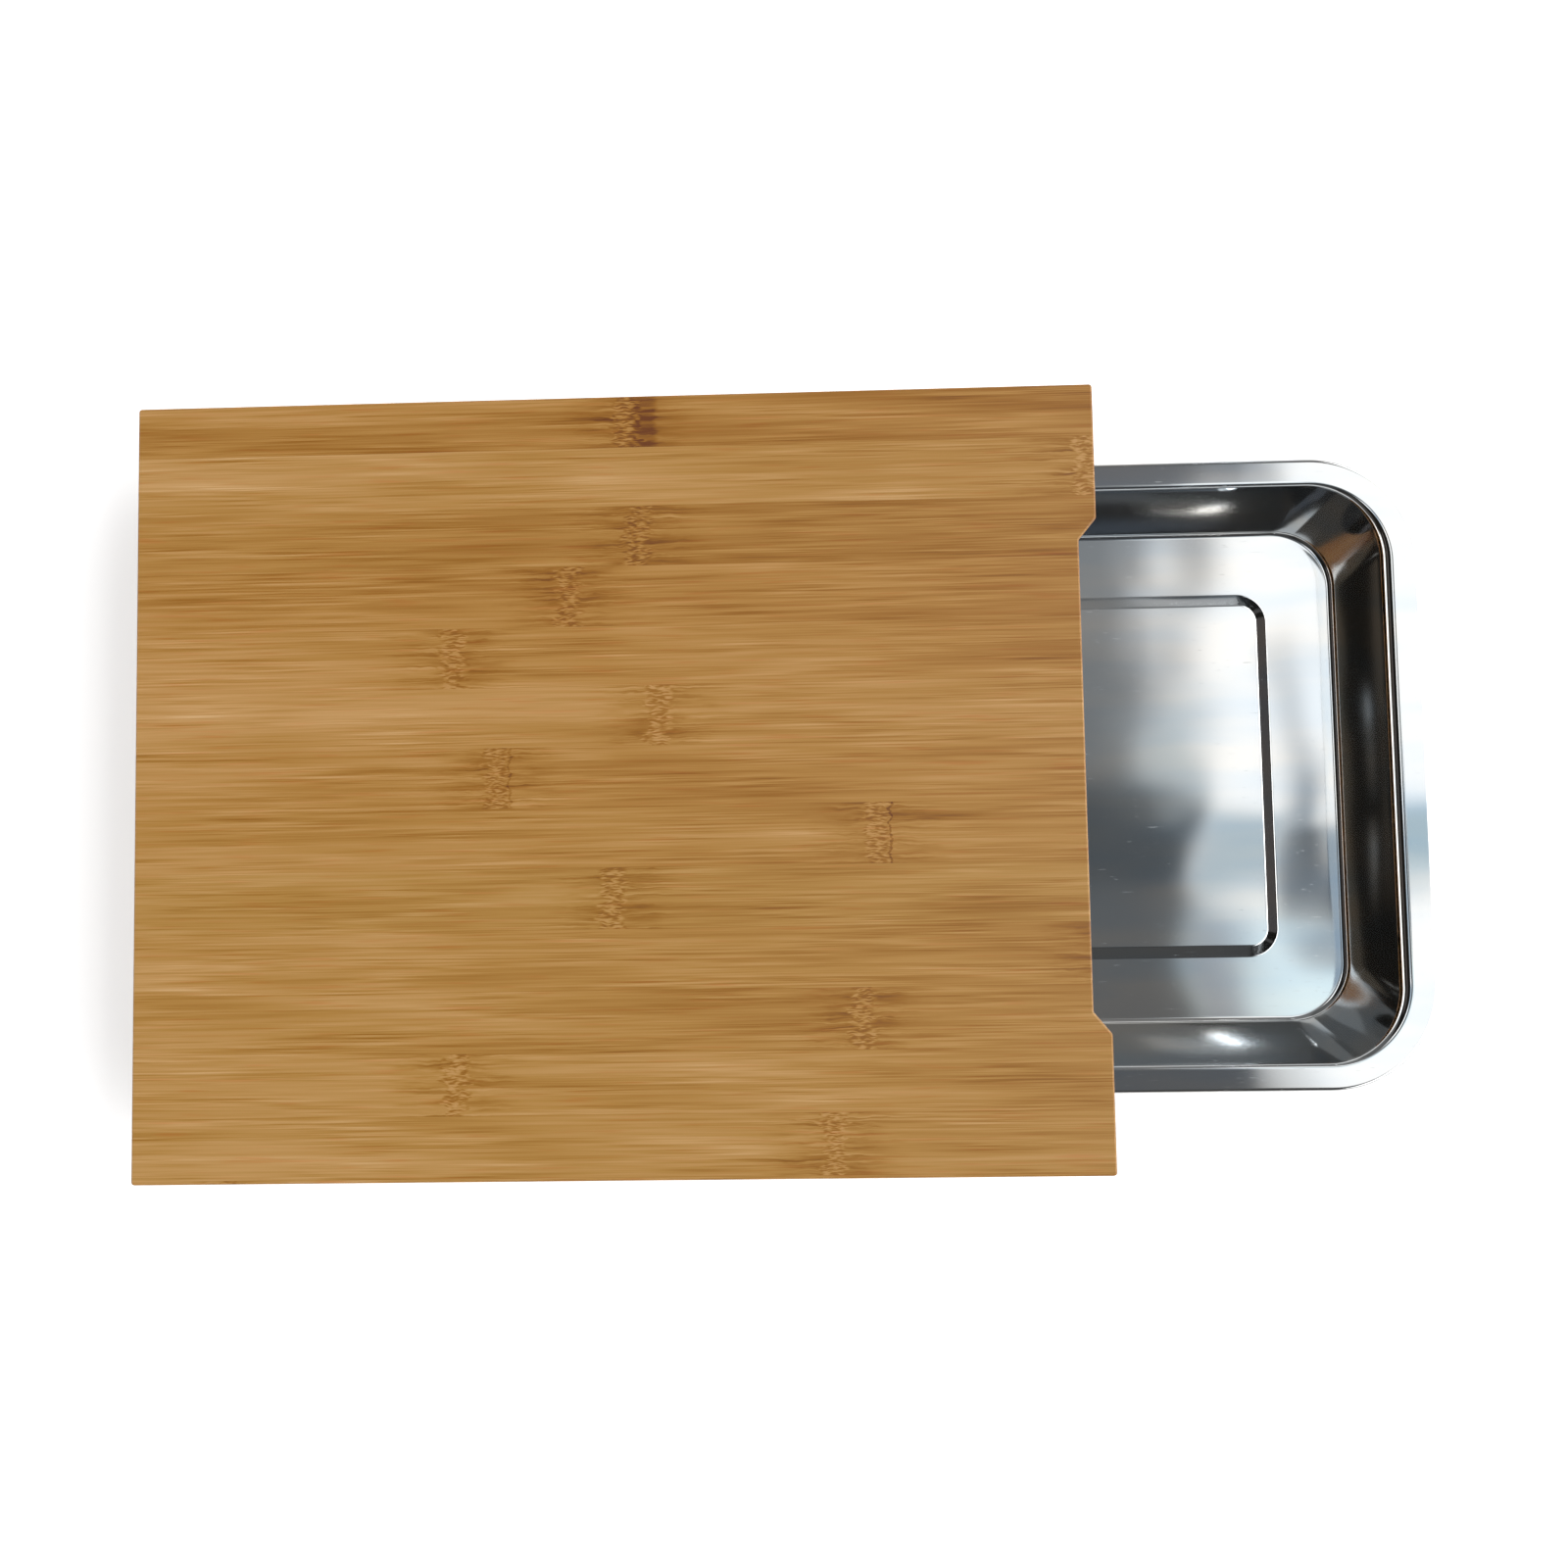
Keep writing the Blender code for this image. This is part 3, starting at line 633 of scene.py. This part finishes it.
@dataclass(frozen=True)
class MattPaper(Finish):
    """Thick white paper, uncoated, for the table.

    It gives the eye an even white with no gloss, which keeps its shadows. It is clear from below.

    Attributes:
        glow: How much it glows towards camera and mirror.
    """

    glow: float

    def paint(self, tree: Tree, shader: bpy.types.Node) -> None:
        """Adds the glow and the clear underside.

        Args:
            tree: The material's node tree.
            shader: Its Principled shader.
        """
        shader.inputs["Base Color"].default_value = linear("#EDEDED")
        shader.inputs["Roughness"].default_value = 0.9
        shader.inputs["Specular IOR Level"].default_value = 0.1
        shader.inputs["Emission Color"].default_value = linear("#FFFFFF")
        path = add_node(tree, "ShaderNodeLightPath").node.outputs
        seen = add_node(tree, MATH, (path["Is Camera Ray"], path["Is Glossy Ray"]), operation="MAXIMUM")
        seen = add_node(tree, MATH, (seen, path["Is Transmission Ray"]), operation="MAXIMUM")
        glow = add_node(tree, MATH, (seen, self.glow), operation="MULTIPLY")
        tree.links.new(glow, shader.inputs["Emission Strength"])
        below = add_node(tree, "ShaderNodeNewGeometry", output=6)
        clear = add_node(tree, "ShaderNodeBsdfTransparent")
        shown = add_node(tree, "ShaderNodeMixShader", (below, shader.outputs[0], clear))
        tree.links.new(shown, tree.nodes["Material Output"].inputs["Surface"])


@dataclass
class CuttingBoard:
    """The bamboo board, three layers of strips thick.

    Attributes:
        strip_mm: Width of a strip, planed from the cane's wall.
        layers: Layers of strips through the board.
        first_edge_mm: Outer edge of the first strip, some of it planed away.
        strips: The strips of the top layer, from the far side to the near one.
    """

    strip_mm: float = 20.87
    layers: int = 3
    first_edge_mm: float = 137.67
    strips: tuple[Strip, ...] = (
        Strip(0.518, 0.42, 0.30, 1.0),
        Strip(0.993, 0.57, 0.18),
        Strip(0.526, 0.41, 0.22),
        Strip(0.454, 0.46, 0.32),
        Strip(0.333, 0.52, 0.27),
        Strip(0.546, 0.59, 0.22),
        Strip(0.378, 0.50, 0.25, 0.5),
        Strip(0.768, 0.50, 0.18, 0.8),
        Strip(0.497, 0.50, 0.00),
        Strip(1.000, 0.50, 0.12),
        Strip(0.749, 0.50, 0.12),
        Strip(0.334, 0.55, 0.10),
        Strip(0.717, 0.55, 0.08),
        Strip(0.100, 0.50, 0.15),
    )

    def dress(self) -> None:
        """Gives the board its bamboo."""
        low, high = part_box("top_board")
        thickness, length = (high[2] - low[2]) / MM, (high[0] - low[0]) / MM
        bamboo = OiledBamboo(
            name="Bamboo, planed and oiled, strips laid flat",
            layup=Layup.BOARD,
            strip_mm=self.strip_mm,
            layer_mm=thickness / self.layers + 0.1,
            first_edge_mm=self.first_edge_mm,
            first_layer_mm=high[2] / MM + 0.1,
            start_mm=low[0] / MM,
            length_mm=length,
            strips=self.strips,
        )
        bamboo.dress(("top_board",))


@dataclass
class BoardFrame:
    """The bamboo walls and runners under the board, and the dowels that join them to it.

    Attributes:
        strip_mm: Height of the strips in a wall.
        layer_mm: Thickness of each.
    """

    strip_mm: float = 17.0
    layer_mm: float = 5.3

    def dress(self) -> None:
        """Gives the walls and runners their bamboo, and the dowels their beech."""
        for node in ("side_wall_near", "side_wall_far", "runner_near", "runner_far", "end_wall"):
            layup = Layup.END_RAIL if node == "end_wall" else Layup.SIDE_RAIL
            low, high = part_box(node)
            along, across, through = ("XYZ".index(letter) for letter in layup.value)
            bamboo = OiledBamboo(
                name="Bamboo, planed and oiled, " + node.replace("_", " "),
                layup=layup,
                strip_mm=self.strip_mm,
                layer_mm=self.layer_mm,
                first_edge_mm=high[across] / MM + 0.1,
                first_layer_mm=high[through] / MM + 0.1,
                start_mm=low[along] / MM,
                length_mm=(high[along] - low[along]) / MM,
            )
            bamboo.dress((node,))
        dowels = [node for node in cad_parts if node.startswith("dowel_")]
        level = tuple(node for node in dowels if "corner" in node)
        upright = tuple(node for node in dowels if "corner" not in node)
        TurnedBeech("Beech, turned, bare, grain level", Grain.CROSSWISE).dress(level)
        TurnedBeech("Beech, turned, bare, grain upright", Grain.UPRIGHT).dress(upright)


@dataclass
class Fasteners:
    """The screws in the runners, and the screws and washers in the feet."""

    def dress(self) -> None:
        """Gives them their plating."""
        nodes = tuple(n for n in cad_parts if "screw" in n or "washer" in n)
        ZincPlatedSteel("Steel, cold headed, bright zinc plated").dress(nodes)


@dataclass
class Feet:
    """The four rubber feet."""

    def dress(self) -> None:
        """Gives them their rubber."""
        nodes = tuple(f"foot_{side}_{end}" for side in ("near", "far") for end in ("closed", "open"))
        MouldedRubber("Rubber, compression moulded").dress(nodes)


@dataclass(frozen=True)
class WallSection:
    """Section of one of the tray's walls, from the rim over it to the floor.

    Attributes:
        rim_width_mm: Width of the level rim.
        rim_bend_mm: Radius from the rim into the wall.
        lean_deg: How far the wall leans from upright.
        crown_deg: Angle of the wall's shallow hollow.
        floor_bend_mm: Radius from the wall into the floor.
        sheet_mm: Thickness of the sheet.
        depth_mm: Height of the rim over the floor.
    """

    rim_width_mm: float
    rim_bend_mm: float
    lean_deg: float
    crown_deg: float
    floor_bend_mm: float
    sheet_mm: float = 0.6
    depth_mm: float = 28.0

    @property
    def turns(self) -> tuple[float, float]:
        """Angles that the sheet turns through at the rim and at the floor, in radians."""
        down, crown = math.radians(90 - self.lean_deg), math.radians(self.crown_deg)
        return down + crown / 2, down - crown / 2

    @property
    def chord_mm(self) -> float:
        """Length of the wall between its bends, straight across its hollow."""
        top, foot = self.turns
        dropped = (self.rim_bend_mm - self.sheet_mm / 2) * (1 - math.cos(top))
        dropped += (self.floor_bend_mm + self.sheet_mm / 2) * (1 - math.cos(foot))
        return (self.depth_mm - dropped) / math.cos(math.radians(self.lean_deg))

    @property
    def floor_inset_mm(self) -> float:
        """Distance from the rim's outer edge to where the floor starts."""
        top, foot = self.turns
        turned = (self.rim_bend_mm - self.sheet_mm / 2) * math.sin(top)
        turned += (self.floor_bend_mm + self.sheet_mm / 2) * math.sin(foot)
        return self.rim_width_mm + turned + self.chord_mm * math.sin(math.radians(self.lean_deg))


@dataclass
class DrawerTray:
    """The tray, pressed from one sheet, its edge folded under the rim.

    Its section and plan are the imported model's to within 3 mm, in finer steps, because
    a mirror shows every facet.

    Attributes:
        ends: Section of the walls at its ends.
        sides: Section of its long walls.
        corner_mm: Plan radius of the rim's outer edge.
        floor_corner_mm: Plan radius of the floor.
        hem_gap_mm: Air inside the edge that is folded under the rim.
        hem_return_mm: How far the folded edge reaches back under the rim.
        panel_inset_mm: Distance from the rim's outer edge to the foot of the raised panel.
        panel_corner_mm: Plan radius at that foot.
        panel_rise_mm: Height of the panel.
        panel_bend_mm: Radius of the two turns in its edge.
        panel_slope_deg: Slope of its edge, from level.
        support_mm: Width of the narrow faces that keep the shading of a flat run flat.
        corner_support_mm: The same along the tray's straight sides.
        sharp_deg: Least angle between faces that shows as a sharp edge.
        bend_steps: Faces through a bend.
        corner_steps: Faces round a corner.
    """

    ends: WallSection = WallSection(8.8, rim_bend_mm=3.6, lean_deg=14.0, crown_deg=6.0, floor_bend_mm=2.8)
    sides: WallSection = WallSection(8.4, rim_bend_mm=1.5, lean_deg=21.0, crown_deg=6.0, floor_bend_mm=2.2)
    corner_mm: float = 38.0
    floor_corner_mm: float = 20.0
    hem_gap_mm: float = 1.2
    hem_return_mm: float = 4.4
    panel_inset_mm: float = 43.5
    panel_corner_mm: float = 11.0
    panel_rise_mm: float = 1.7
    panel_bend_mm: float = 1.2
    panel_slope_deg: float = 21.0
    support_mm: float = 0.5
    corner_support_mm: float = 1.0
    sharp_deg: float = 40.0
    bend_steps: int = 12
    corner_steps: int = 30

    @property
    def panel_run_mm(self) -> float:
        """Length of the straight stretch in the edge of the raised panel."""
        slope = math.radians(self.panel_slope_deg)
        return (self.panel_rise_mm - 2 * self.panel_bend_mm * (1 - math.cos(slope))) / math.sin(slope)

    @property
    def panel_edge_mm(self) -> float:
        """Width of the raised panel's edge, from above."""
        slope = math.radians(self.panel_slope_deg)
        return 2 * self.panel_bend_mm * math.sin(slope) + self.panel_run_mm * math.cos(slope)

    def moves(self, wall: WallSection) -> list[tuple[float, float]]:
        """The runs and bends of the sheet's middle line, from the folded edge in to the panel.

        Args:
            wall: Section of the wall on the way.

        Returns:
            A length and 0 for each run, and a radius and an angle, left above zero, for each bend.
        """
        top, foot = wall.turns
        crown = math.radians(wall.crown_deg)
        slope = math.radians(self.panel_slope_deg)
        fold = wall.sheet_mm + self.hem_gap_mm / 2
        return [
            (self.hem_return_mm - fold, 0.0),
            ((self.hem_gap_mm + wall.sheet_mm) / 2, -math.pi),
            (wall.rim_width_mm - fold, 0.0),
            (wall.rim_bend_mm - wall.sheet_mm / 2, -top),
            (wall.chord_mm / (2 * math.sin(crown / 2)), crown),
            (wall.floor_bend_mm + wall.sheet_mm / 2, foot),
            (self.panel_inset_mm - wall.floor_inset_mm, 0.0),
            (self.panel_bend_mm, slope),
            (self.panel_run_mm, 0.0),
            (self.panel_bend_mm, -slope),
            (self.support_mm, 0.0),
        ]

    def face(self, wall: WallSection, side: int) -> list[Point2]:
        """One face of the sheet, in section.

        Args:
            wall: Section of the wall on the way.
            side: 1 for the tray's inside, -1 for its outside.

        Returns:
            Insets from the rim's outer edge, and heights from the rim's top.
        """
        heading = math.pi
        offset = side * wall.sheet_mm / 2
        points = [Vector((self.hem_return_mm, -1.5 * wall.sheet_mm - self.hem_gap_mm - offset))]
        for size, angle in self.moves(wall):
            ahead = Vector((math.cos(heading), math.sin(heading)))
            here = points[-1]
            if not angle:
                if size > 3 * self.support_mm:
                    points.append(here + self.support_mm * ahead)
                    points.append(here + (size - self.support_mm) * ahead)
                points.append(here + size * ahead)
                continue
            radius = size - math.copysign(offset, angle)
            inward = math.copysign(math.pi / 2, angle)
            centre = here + radius * Vector((math.cos(heading + inward), math.sin(heading + inward)))
            for i in range(1, self.bend_steps + 1):
                turn = heading - inward + angle * i / self.bend_steps
                points.append(centre + radius * Vector((math.cos(turn), math.sin(turn))))
            heading += angle
        return [(p.x, p.y) for p in points]

    def corner_radius_mm(self, inset_mm: float) -> float:
        """Plan radius of the tray's corners, which tighten on the way in.

        Args:
            inset_mm: Distance from the rim's outer edge at the tray's end.

        Returns:
            The radius there.
        """
        edge = self.panel_edge_mm
        table = (
            (0.0, self.corner_mm),
            (self.ends.rim_width_mm, self.corner_mm - self.ends.rim_width_mm),
            (self.ends.floor_inset_mm, self.floor_corner_mm),
            (self.panel_inset_mm, self.panel_corner_mm),
            (self.panel_inset_mm + edge, self.panel_corner_mm - edge),
            (self.panel_inset_mm + edge + self.support_mm, self.panel_corner_mm - edge - self.support_mm),
        )
        for (x0, y0), (x1, y1) in zip(table, table[1:]):
            if inset_mm <= x1:
                return y0 + (y1 - y0) * max(0.0, inset_mm - x0) / (x1 - x0)
        return table[-1][1]

    def ring(self, end: Point2, side: Point2, half: Vector) -> list[Vector]:
        """Points round the tray at one place in its section, with supports beside the corners.

        Args:
            end: Inset from the rim's outer edge and height from the rim's top, at the tray's ends.
            side: The same along its sides; the corners blend the two.
            half: Half of the tray's length and width, in metres.

        Returns:
            The points, from the tray's middle.
        """
        radius = self.corner_radius_mm(end[0]) * MM
        x, y = half.x - end[0] * MM - radius, half.y - side[0] * MM - radius
        points = []
        for corner, (sx, sy) in enumerate(((1, 1), (-1, 1), (-1, -1), (1, -1))):
            for i in range(self.corner_steps + 1):
                share = i / self.corner_steps
                turn = (corner + share) * math.pi / 2
                blend = abs(corner % 2 - share)
                blend *= blend * (3 - 2 * blend)
                height = (end[1] + (side[1] - end[1]) * blend) * MM
                points.append(
                    Vector((sx * x + radius * math.cos(turn), sy * y + radius * math.sin(turn), height))
                )
            heading = (corner + 2) * math.pi / 2
            ahead = Vector((math.cos(heading), math.sin(heading), 0.0))
            straight = 2 * (x if corner % 2 == 0 else y)
            support = self.corner_support_mm * MM
            points.append(points[-1] + support * ahead)
            points.append(points[-2] + (straight - support) * ahead)
        return points

    def build(self) -> bpy.types.Object:
        """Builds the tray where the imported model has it.

        Returns:
            The tray.
        """
        low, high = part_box("drawer_tray")
        middle = Vector(((low[0] + high[0]) / 2, (low[1] + high[1]) / 2, high[2]))
        half = Vector(((high[0] - low[0]) / 2, (high[1] - low[1]) / 2))
        ends, sides = (self.face(wall, -1)[::-1] + self.face(wall, 1) for wall in (self.ends, self.sides))
        bm = bmesh.new()
        rings = [
            [bm.verts.new(middle + point) for point in self.ring(end, side, half)]
            for end, side in zip(ends, sides)
        ]
        for ring, following in zip(rings, rings[1:]):
            for i in range(len(ring)):
                bm.faces.new((ring[i - 1], ring[i], following[i], following[i - 1]))
        bm.faces.new(rings[0])
        bm.faces.new(rings[-1])
        bmesh.ops.recalc_face_normals(bm, faces=bm.faces)
        mesh = bpy.data.meshes.new("pressed_tray")
        bm.to_mesh(mesh)
        bm.free()
        mesh.shade_smooth()
        mesh.set_sharp_from_angle(angle=math.radians(self.sharp_deg))
        tray = bpy.data.objects.new("pressed_tray", mesh)
        bpy.context.scene.collection.objects.link(tray)
        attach(tray, "drawer")
        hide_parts("drawer_tray")
        return tray

    def dress(self, tray: bpy.types.Object) -> None:
        """Gives the tray its steel.

        Args:
            tray: The built tray.
        """
        steel = BrightRolledStainless("Stainless steel, bright rolled, deep drawn")
        tray.data.materials.append(steel.material())
        LOG.info("%s: %s, %d faces", tray.name, steel.name, len(tray.data.polygons))


@dataclass(frozen=True)
class SkyPanel:
    """A soft-edged rectangle of the room, above the table and far away.

    A place in it is the x and y of a direction whose z is 1, so the zenith is (0, 0).

    Attributes:
        name: What it stands for.
        low: Its lowest x and y.
        high: Its highest x and y.
        softness: Width that its edges fade over.
        radiance: How bright it is; 1 is white.
        tint: Its colour.
        bow: How much its left edge bows out towards its middle.
    """

    name: str
    low: Point2
    high: Point2
    softness: float
    radiance: float
    tint: str = "#FFFFFF"
    bow: float = 0.0

    def cover(self, tree: Tree, slopes: tuple[Socket, Socket], under: Socket) -> Socket:
        """Lays the panel over what is there.

        Args:
            tree: The world's node tree.
            slopes: The x and y of the direction that is looked in.
            under: Colour of what is there.

        Returns:
            The colour with the panel over it.
        """
        share = 1.0
        x, y = slopes
        if self.bow:
            rise = add_node(tree, MATH, (y, (self.low[1] + self.high[1]) / 2), operation="SUBTRACT")
            square = add_node(tree, MATH, (rise, rise), operation="MULTIPLY")
            x = add_node(tree, MATH, (square, -self.bow, x), operation="MULTIPLY_ADD")
        for slope, low, high in zip((x, y), self.low, self.high):
            off = add_node(tree, MATH, (slope, (low + high) / 2), operation="SUBTRACT")
            off = add_node(tree, MATH, (off,), operation="ABSOLUTE")
            reach, soft = (high - low) / 2, self.softness / 2
            fade = (off, reach - soft, reach + soft, 1.0, 0.0)
            edge = add_node(tree, MAP_RANGE, fade, interpolation_type="SMOOTHSTEP")
            share = add_node(tree, MATH, (edge, share), operation="MULTIPLY")
        glow = tuple(self.radiance * channel for channel in linear(self.tint)[:3]) + (1.0,)
        return add_node(tree, MIX, {0: share, 6: under, 7: glow}, output=2, data_type="RGBA")


@dataclass
class Studio:
    """The white table, the room that lights it, and the camera.

    Attributes:
        table_size: Side of the table, in metres.
        table_glow: How much the table glows towards camera and mirror.
        low_colour: Colour of the room low down.
        high_colour: Its colour higher up, where no panel is.
        fade: Between which rises, as sines of the angle, the one turns into the other.
        least_rise: Rise below which a direction's slopes don't grow further.
        lens_mm: Focal length on a sensor 36 mm wide.
        camera_place: Where the camera is.
        camera_turn: Its Euler angles, in radians; it looks almost straight down.
        camera_shift: How far its view is shifted, as shares of the picture's width.
        panels: What is in the room, each over the one before.
    """

    table_size: float = 60.0
    table_glow: float = 0.55
    low_colour: str = "#F4F4F4"
    high_colour: str = "#24221F"
    fade: Point2 = (0.44, 0.50)
    least_rise: float = 0.05
    lens_mm: float = 27.0
    camera_place: tuple[float, float, float] = (0.0034, -0.0133, 0.4602)
    camera_turn: tuple[float, float, float] = (0.0519, 0.0266, -0.0176)
    camera_shift: Point2 = (0.0119, -0.0175)
    panels: tuple[SkyPanel, ...] = (
        SkyPanel("ceiling, near half", (-0.105, -0.36), (0.615, 0.021), 0.04, 0.175),
        SkyPanel("ceiling, far half", (-0.105, 0.021), (0.615, 0.40), 0.04, 0.26),
        SkyPanel("ceiling, farthest", (-0.105, 0.121), (0.615, 0.40), 0.10, 0.35),
        SkyPanel("window", (0.312, -0.319), (3.0, 0.521), 0.08, 1.65, bow=0.9),
        SkyPanel("window over the rim, far half", (0.57, 0.03), (0.75, 0.62), 0.06, 1.55),
        SkyPanel("window over the rim, near half", (0.57, -0.64), (0.75, -0.10), 0.06, 1.55),
        SkyPanel("window, lower pane", (0.312, -0.178), (0.475, -0.10), 0.05, 1.60, "#E6F6FA"),
        SkyPanel("window, dimmer pane", (0.33, -0.22), (0.385, -0.095), 0.05, 0.55, "#F0F6FF"),
        SkyPanel("window's top corner", (0.28, 0.185), (0.335, 0.30), 0.05, 0.45),
        SkyPanel("room beside the window", (-0.1, -0.36), (0.332, -0.065), 0.05, 0.175),
        SkyPanel("room beside the window, low down", (-0.1, -0.36), (0.392, -0.182), 0.05, 0.155, "#F0F6FF"),
        SkyPanel("curtain", (0.29, -0.02), (0.342, 0.09), 0.05, 0.85, "#F0FAFF"),
        SkyPanel("blind", (0.407, 0.041), (0.439, 0.151), 0.04, 0.95),
        SkyPanel("frame over the window", (0.10, 0.262), (0.388, 0.42), 0.05, 0.22, "#F2F6FF"),
        SkyPanel("bar, left", (-0.105, -0.062), (0.33, 0.016), 0.03, 0.13, "#E8F4FF"),
        SkyPanel("bar, middle", (0.34, -0.079), (0.412, 0.006), 0.03, 0.90, "#E2F4FF"),
        SkyPanel("bar, right fringe", (0.415, -0.112), (0.452, 0.045), 0.03, 0.50, "#DDEFFF"),
        SkyPanel("bar, right", (0.420, -0.095), (0.466, -0.022), 0.03, 0.17, "#D4E8FF"),
        SkyPanel("bar, end", (0.47, -0.053), (0.635, -0.002), 0.03, 0.85, "#D0EEFF"),
        SkyPanel("overhead", (-0.07, -0.26), (0.095, 0.26), 0.03, 2.0),
        SkyPanel("overhead, bar", (-0.09, -0.125), (0.115, -0.02), 0.03, 0.9, "#D8ECFF"),
        SkyPanel("wall that the far side shows", (-0.3, -2.2), (1.2, -0.36), 0.08, 0.04),
        SkyPanel("far side, above the streak", (0.10, -1.26), (0.60, -0.60), 0.05, 0.09),
        SkyPanel("far side, below the streak", (0.10, -1.90), (0.67, -1.63), 0.08, 0.16, "#E0E6F2"),
        SkyPanel("far side, streak", (0.10, -1.41), (0.56, -1.28), 0.05, 0.18),
        SkyPanel("far side, end of the streak", (0.588, -1.51), (0.606, -1.42), 0.02, 9.0),
        SkyPanel("wall that the near side shows", (-0.3, 0.38), (1.2, 2.2), 0.06, 0.14),
        SkyPanel("near side, left", (0.10, 0.50), (0.605, 2.2), 0.05, 0.27),
        SkyPanel("near side, streak", (0.47, 1.25), (0.612, 1.40), 0.05, 0.6),
        SkyPanel("near side, lamp", (0.606, 1.35), (0.624, 1.49), 0.015, 11.0),
        SkyPanel("window, beyond the mirror's sight", (0.72, -1.10), (3.0, 1.08), 0.08, 5.4),
        SkyPanel("lamp on the left, low", (-7.0, -2.6), (-2.1, 2.6), 0.10, 2.2),
        SkyPanel("right side, foot", (-2.0, -0.40), (-1.52, 0.34), 0.06, 0.12, "#FFEAD0"),
        SkyPanel("right side, line at the foot", (-2.4, -0.45), (-1.96, 0.34), 0.03, 1.6),
        SkyPanel("right side, top, far part", (-1.20, 0.09), (-1.06, 0.36), 0.06, 0.12, "#FFE8D0"),
        SkyPanel("right side, top", (-1.20, -0.10), (-1.06, 0.09), 0.06, 0.07, "#FFECD8"),
        SkyPanel("right side, far stroke", (-1.335, 0.04), (-1.262, 0.15), 0.05, 0.15, "#FFF4E8"),
        SkyPanel("right side, near stroke", (-1.335, -0.12), (-1.262, -0.02), 0.05, 0.15, "#FFF4E8"),
        SkyPanel("right side, far glint", (-1.312, 0.10), (-1.268, 0.135), 0.03, 0.7),
        SkyPanel("right side, near glint", (-1.315, -0.09), (-1.268, -0.055), 0.03, 0.35),
        SkyPanel("what the panel's right edge shows", (-0.90, -0.26), (-0.68, 0.34), 0.04, 0.16, "#FFF0EC"),
        SkyPanel("far corner", (-3.0, -3.0), (-0.2, -0.72), 0.10, 0.09, "#FFF4E8"),
        SkyPanel("near corner", (-1.8, 0.66), (-0.1, 3.0), 0.10, 0.17),
        SkyPanel("near corner, foot", (-1.8, 1.75), (-0.85, 3.0), 0.10, 0.32),
    )

    def build_table(self) -> None:
        """Lays the white table."""
        bm = bmesh.new()
        bmesh.ops.create_grid(bm, x_segments=1, y_segments=1, size=self.table_size / 2)
        mesh = bpy.data.meshes.new("studio_table")
        bm.to_mesh(mesh)
        bm.free()
        mesh.materials.append(MattPaper("Paper, white, matt", self.table_glow).material())
        table = bpy.data.objects.new("studio_table", mesh)
        bpy.context.scene.collection.objects.link(table)

    def build_room(self) -> None:
        """Surrounds the table with a room, pale low down and dark above. The camera sees plain white there."""
        world = bpy.data.worlds.new("studio room")
        world.use_nodes = True
        bpy.context.scene.world = world
        tree = world.node_tree
        direction = add_node(tree, "ShaderNodeTexCoord")
        rise = add_node(tree, "ShaderNodeSeparateXYZ", (direction,), output=2)
        low, high = linear(self.low_colour), linear(self.high_colour)
        stops = ((0.0, low), (1.0, high), (self.fade[0], low), (self.fade[1], high))
        colour = add_node(tree, RAMP, (rise,), stops=stops)
        over = add_node(tree, MATH, (rise, self.least_rise), operation="MAXIMUM")
        over = add_node(tree, MATH, (1.0, over), operation="DIVIDE")
        slopes = add_node(tree, VECTOR_MATH, {0: direction, "Scale": over}, operation="SCALE")
        slopes = add_node(tree, "ShaderNodeSeparateXYZ", (slopes,)).node.outputs[:2]
        for panel in self.panels:
            colour = panel.cover(tree, slopes, colour)
            LOG.info("room: %s", panel.name)
        seen = add_node(tree, "ShaderNodeLightPath")
        colour = add_node(tree, MIX, {0: seen, 6: colour, 7: linear("#FFFFFF")}, output=2, data_type="RGBA")
        tree.links.new(colour, tree.nodes["Background"].inputs["Color"])

    def build_camera(self) -> None:
        """Puts the camera over the board."""
        camera = bpy.data.cameras.new("camera")
        camera.lens, camera.sensor_width = self.lens_mm, 36.0
        camera.shift_x, camera.shift_y = self.camera_shift
        held = bpy.data.objects.new("camera", camera)
        held.location, held.rotation_euler = self.camera_place, self.camera_turn
        bpy.context.scene.collection.objects.link(held)
        bpy.context.scene.camera = held

    def build(self) -> None:
        """Sets up everything round the object."""
        self.build_table()
        self.build_room()
        self.build_camera()
        bpy.context.scene.view_settings.view_transform = "Standard"


def main() -> None:
    """Dresses each sub-assembly in turn, then sets up the studio."""
    CuttingBoard().dress()
    BoardFrame().dress()
    Fasteners().dress()
    Feet().dress()
    tray = DrawerTray()
    tray.dress(tray.build())
    Studio().build()


if __name__ == "__main__":
    logging.basicConfig(level=logging.INFO, format="%(message)s")
    main()
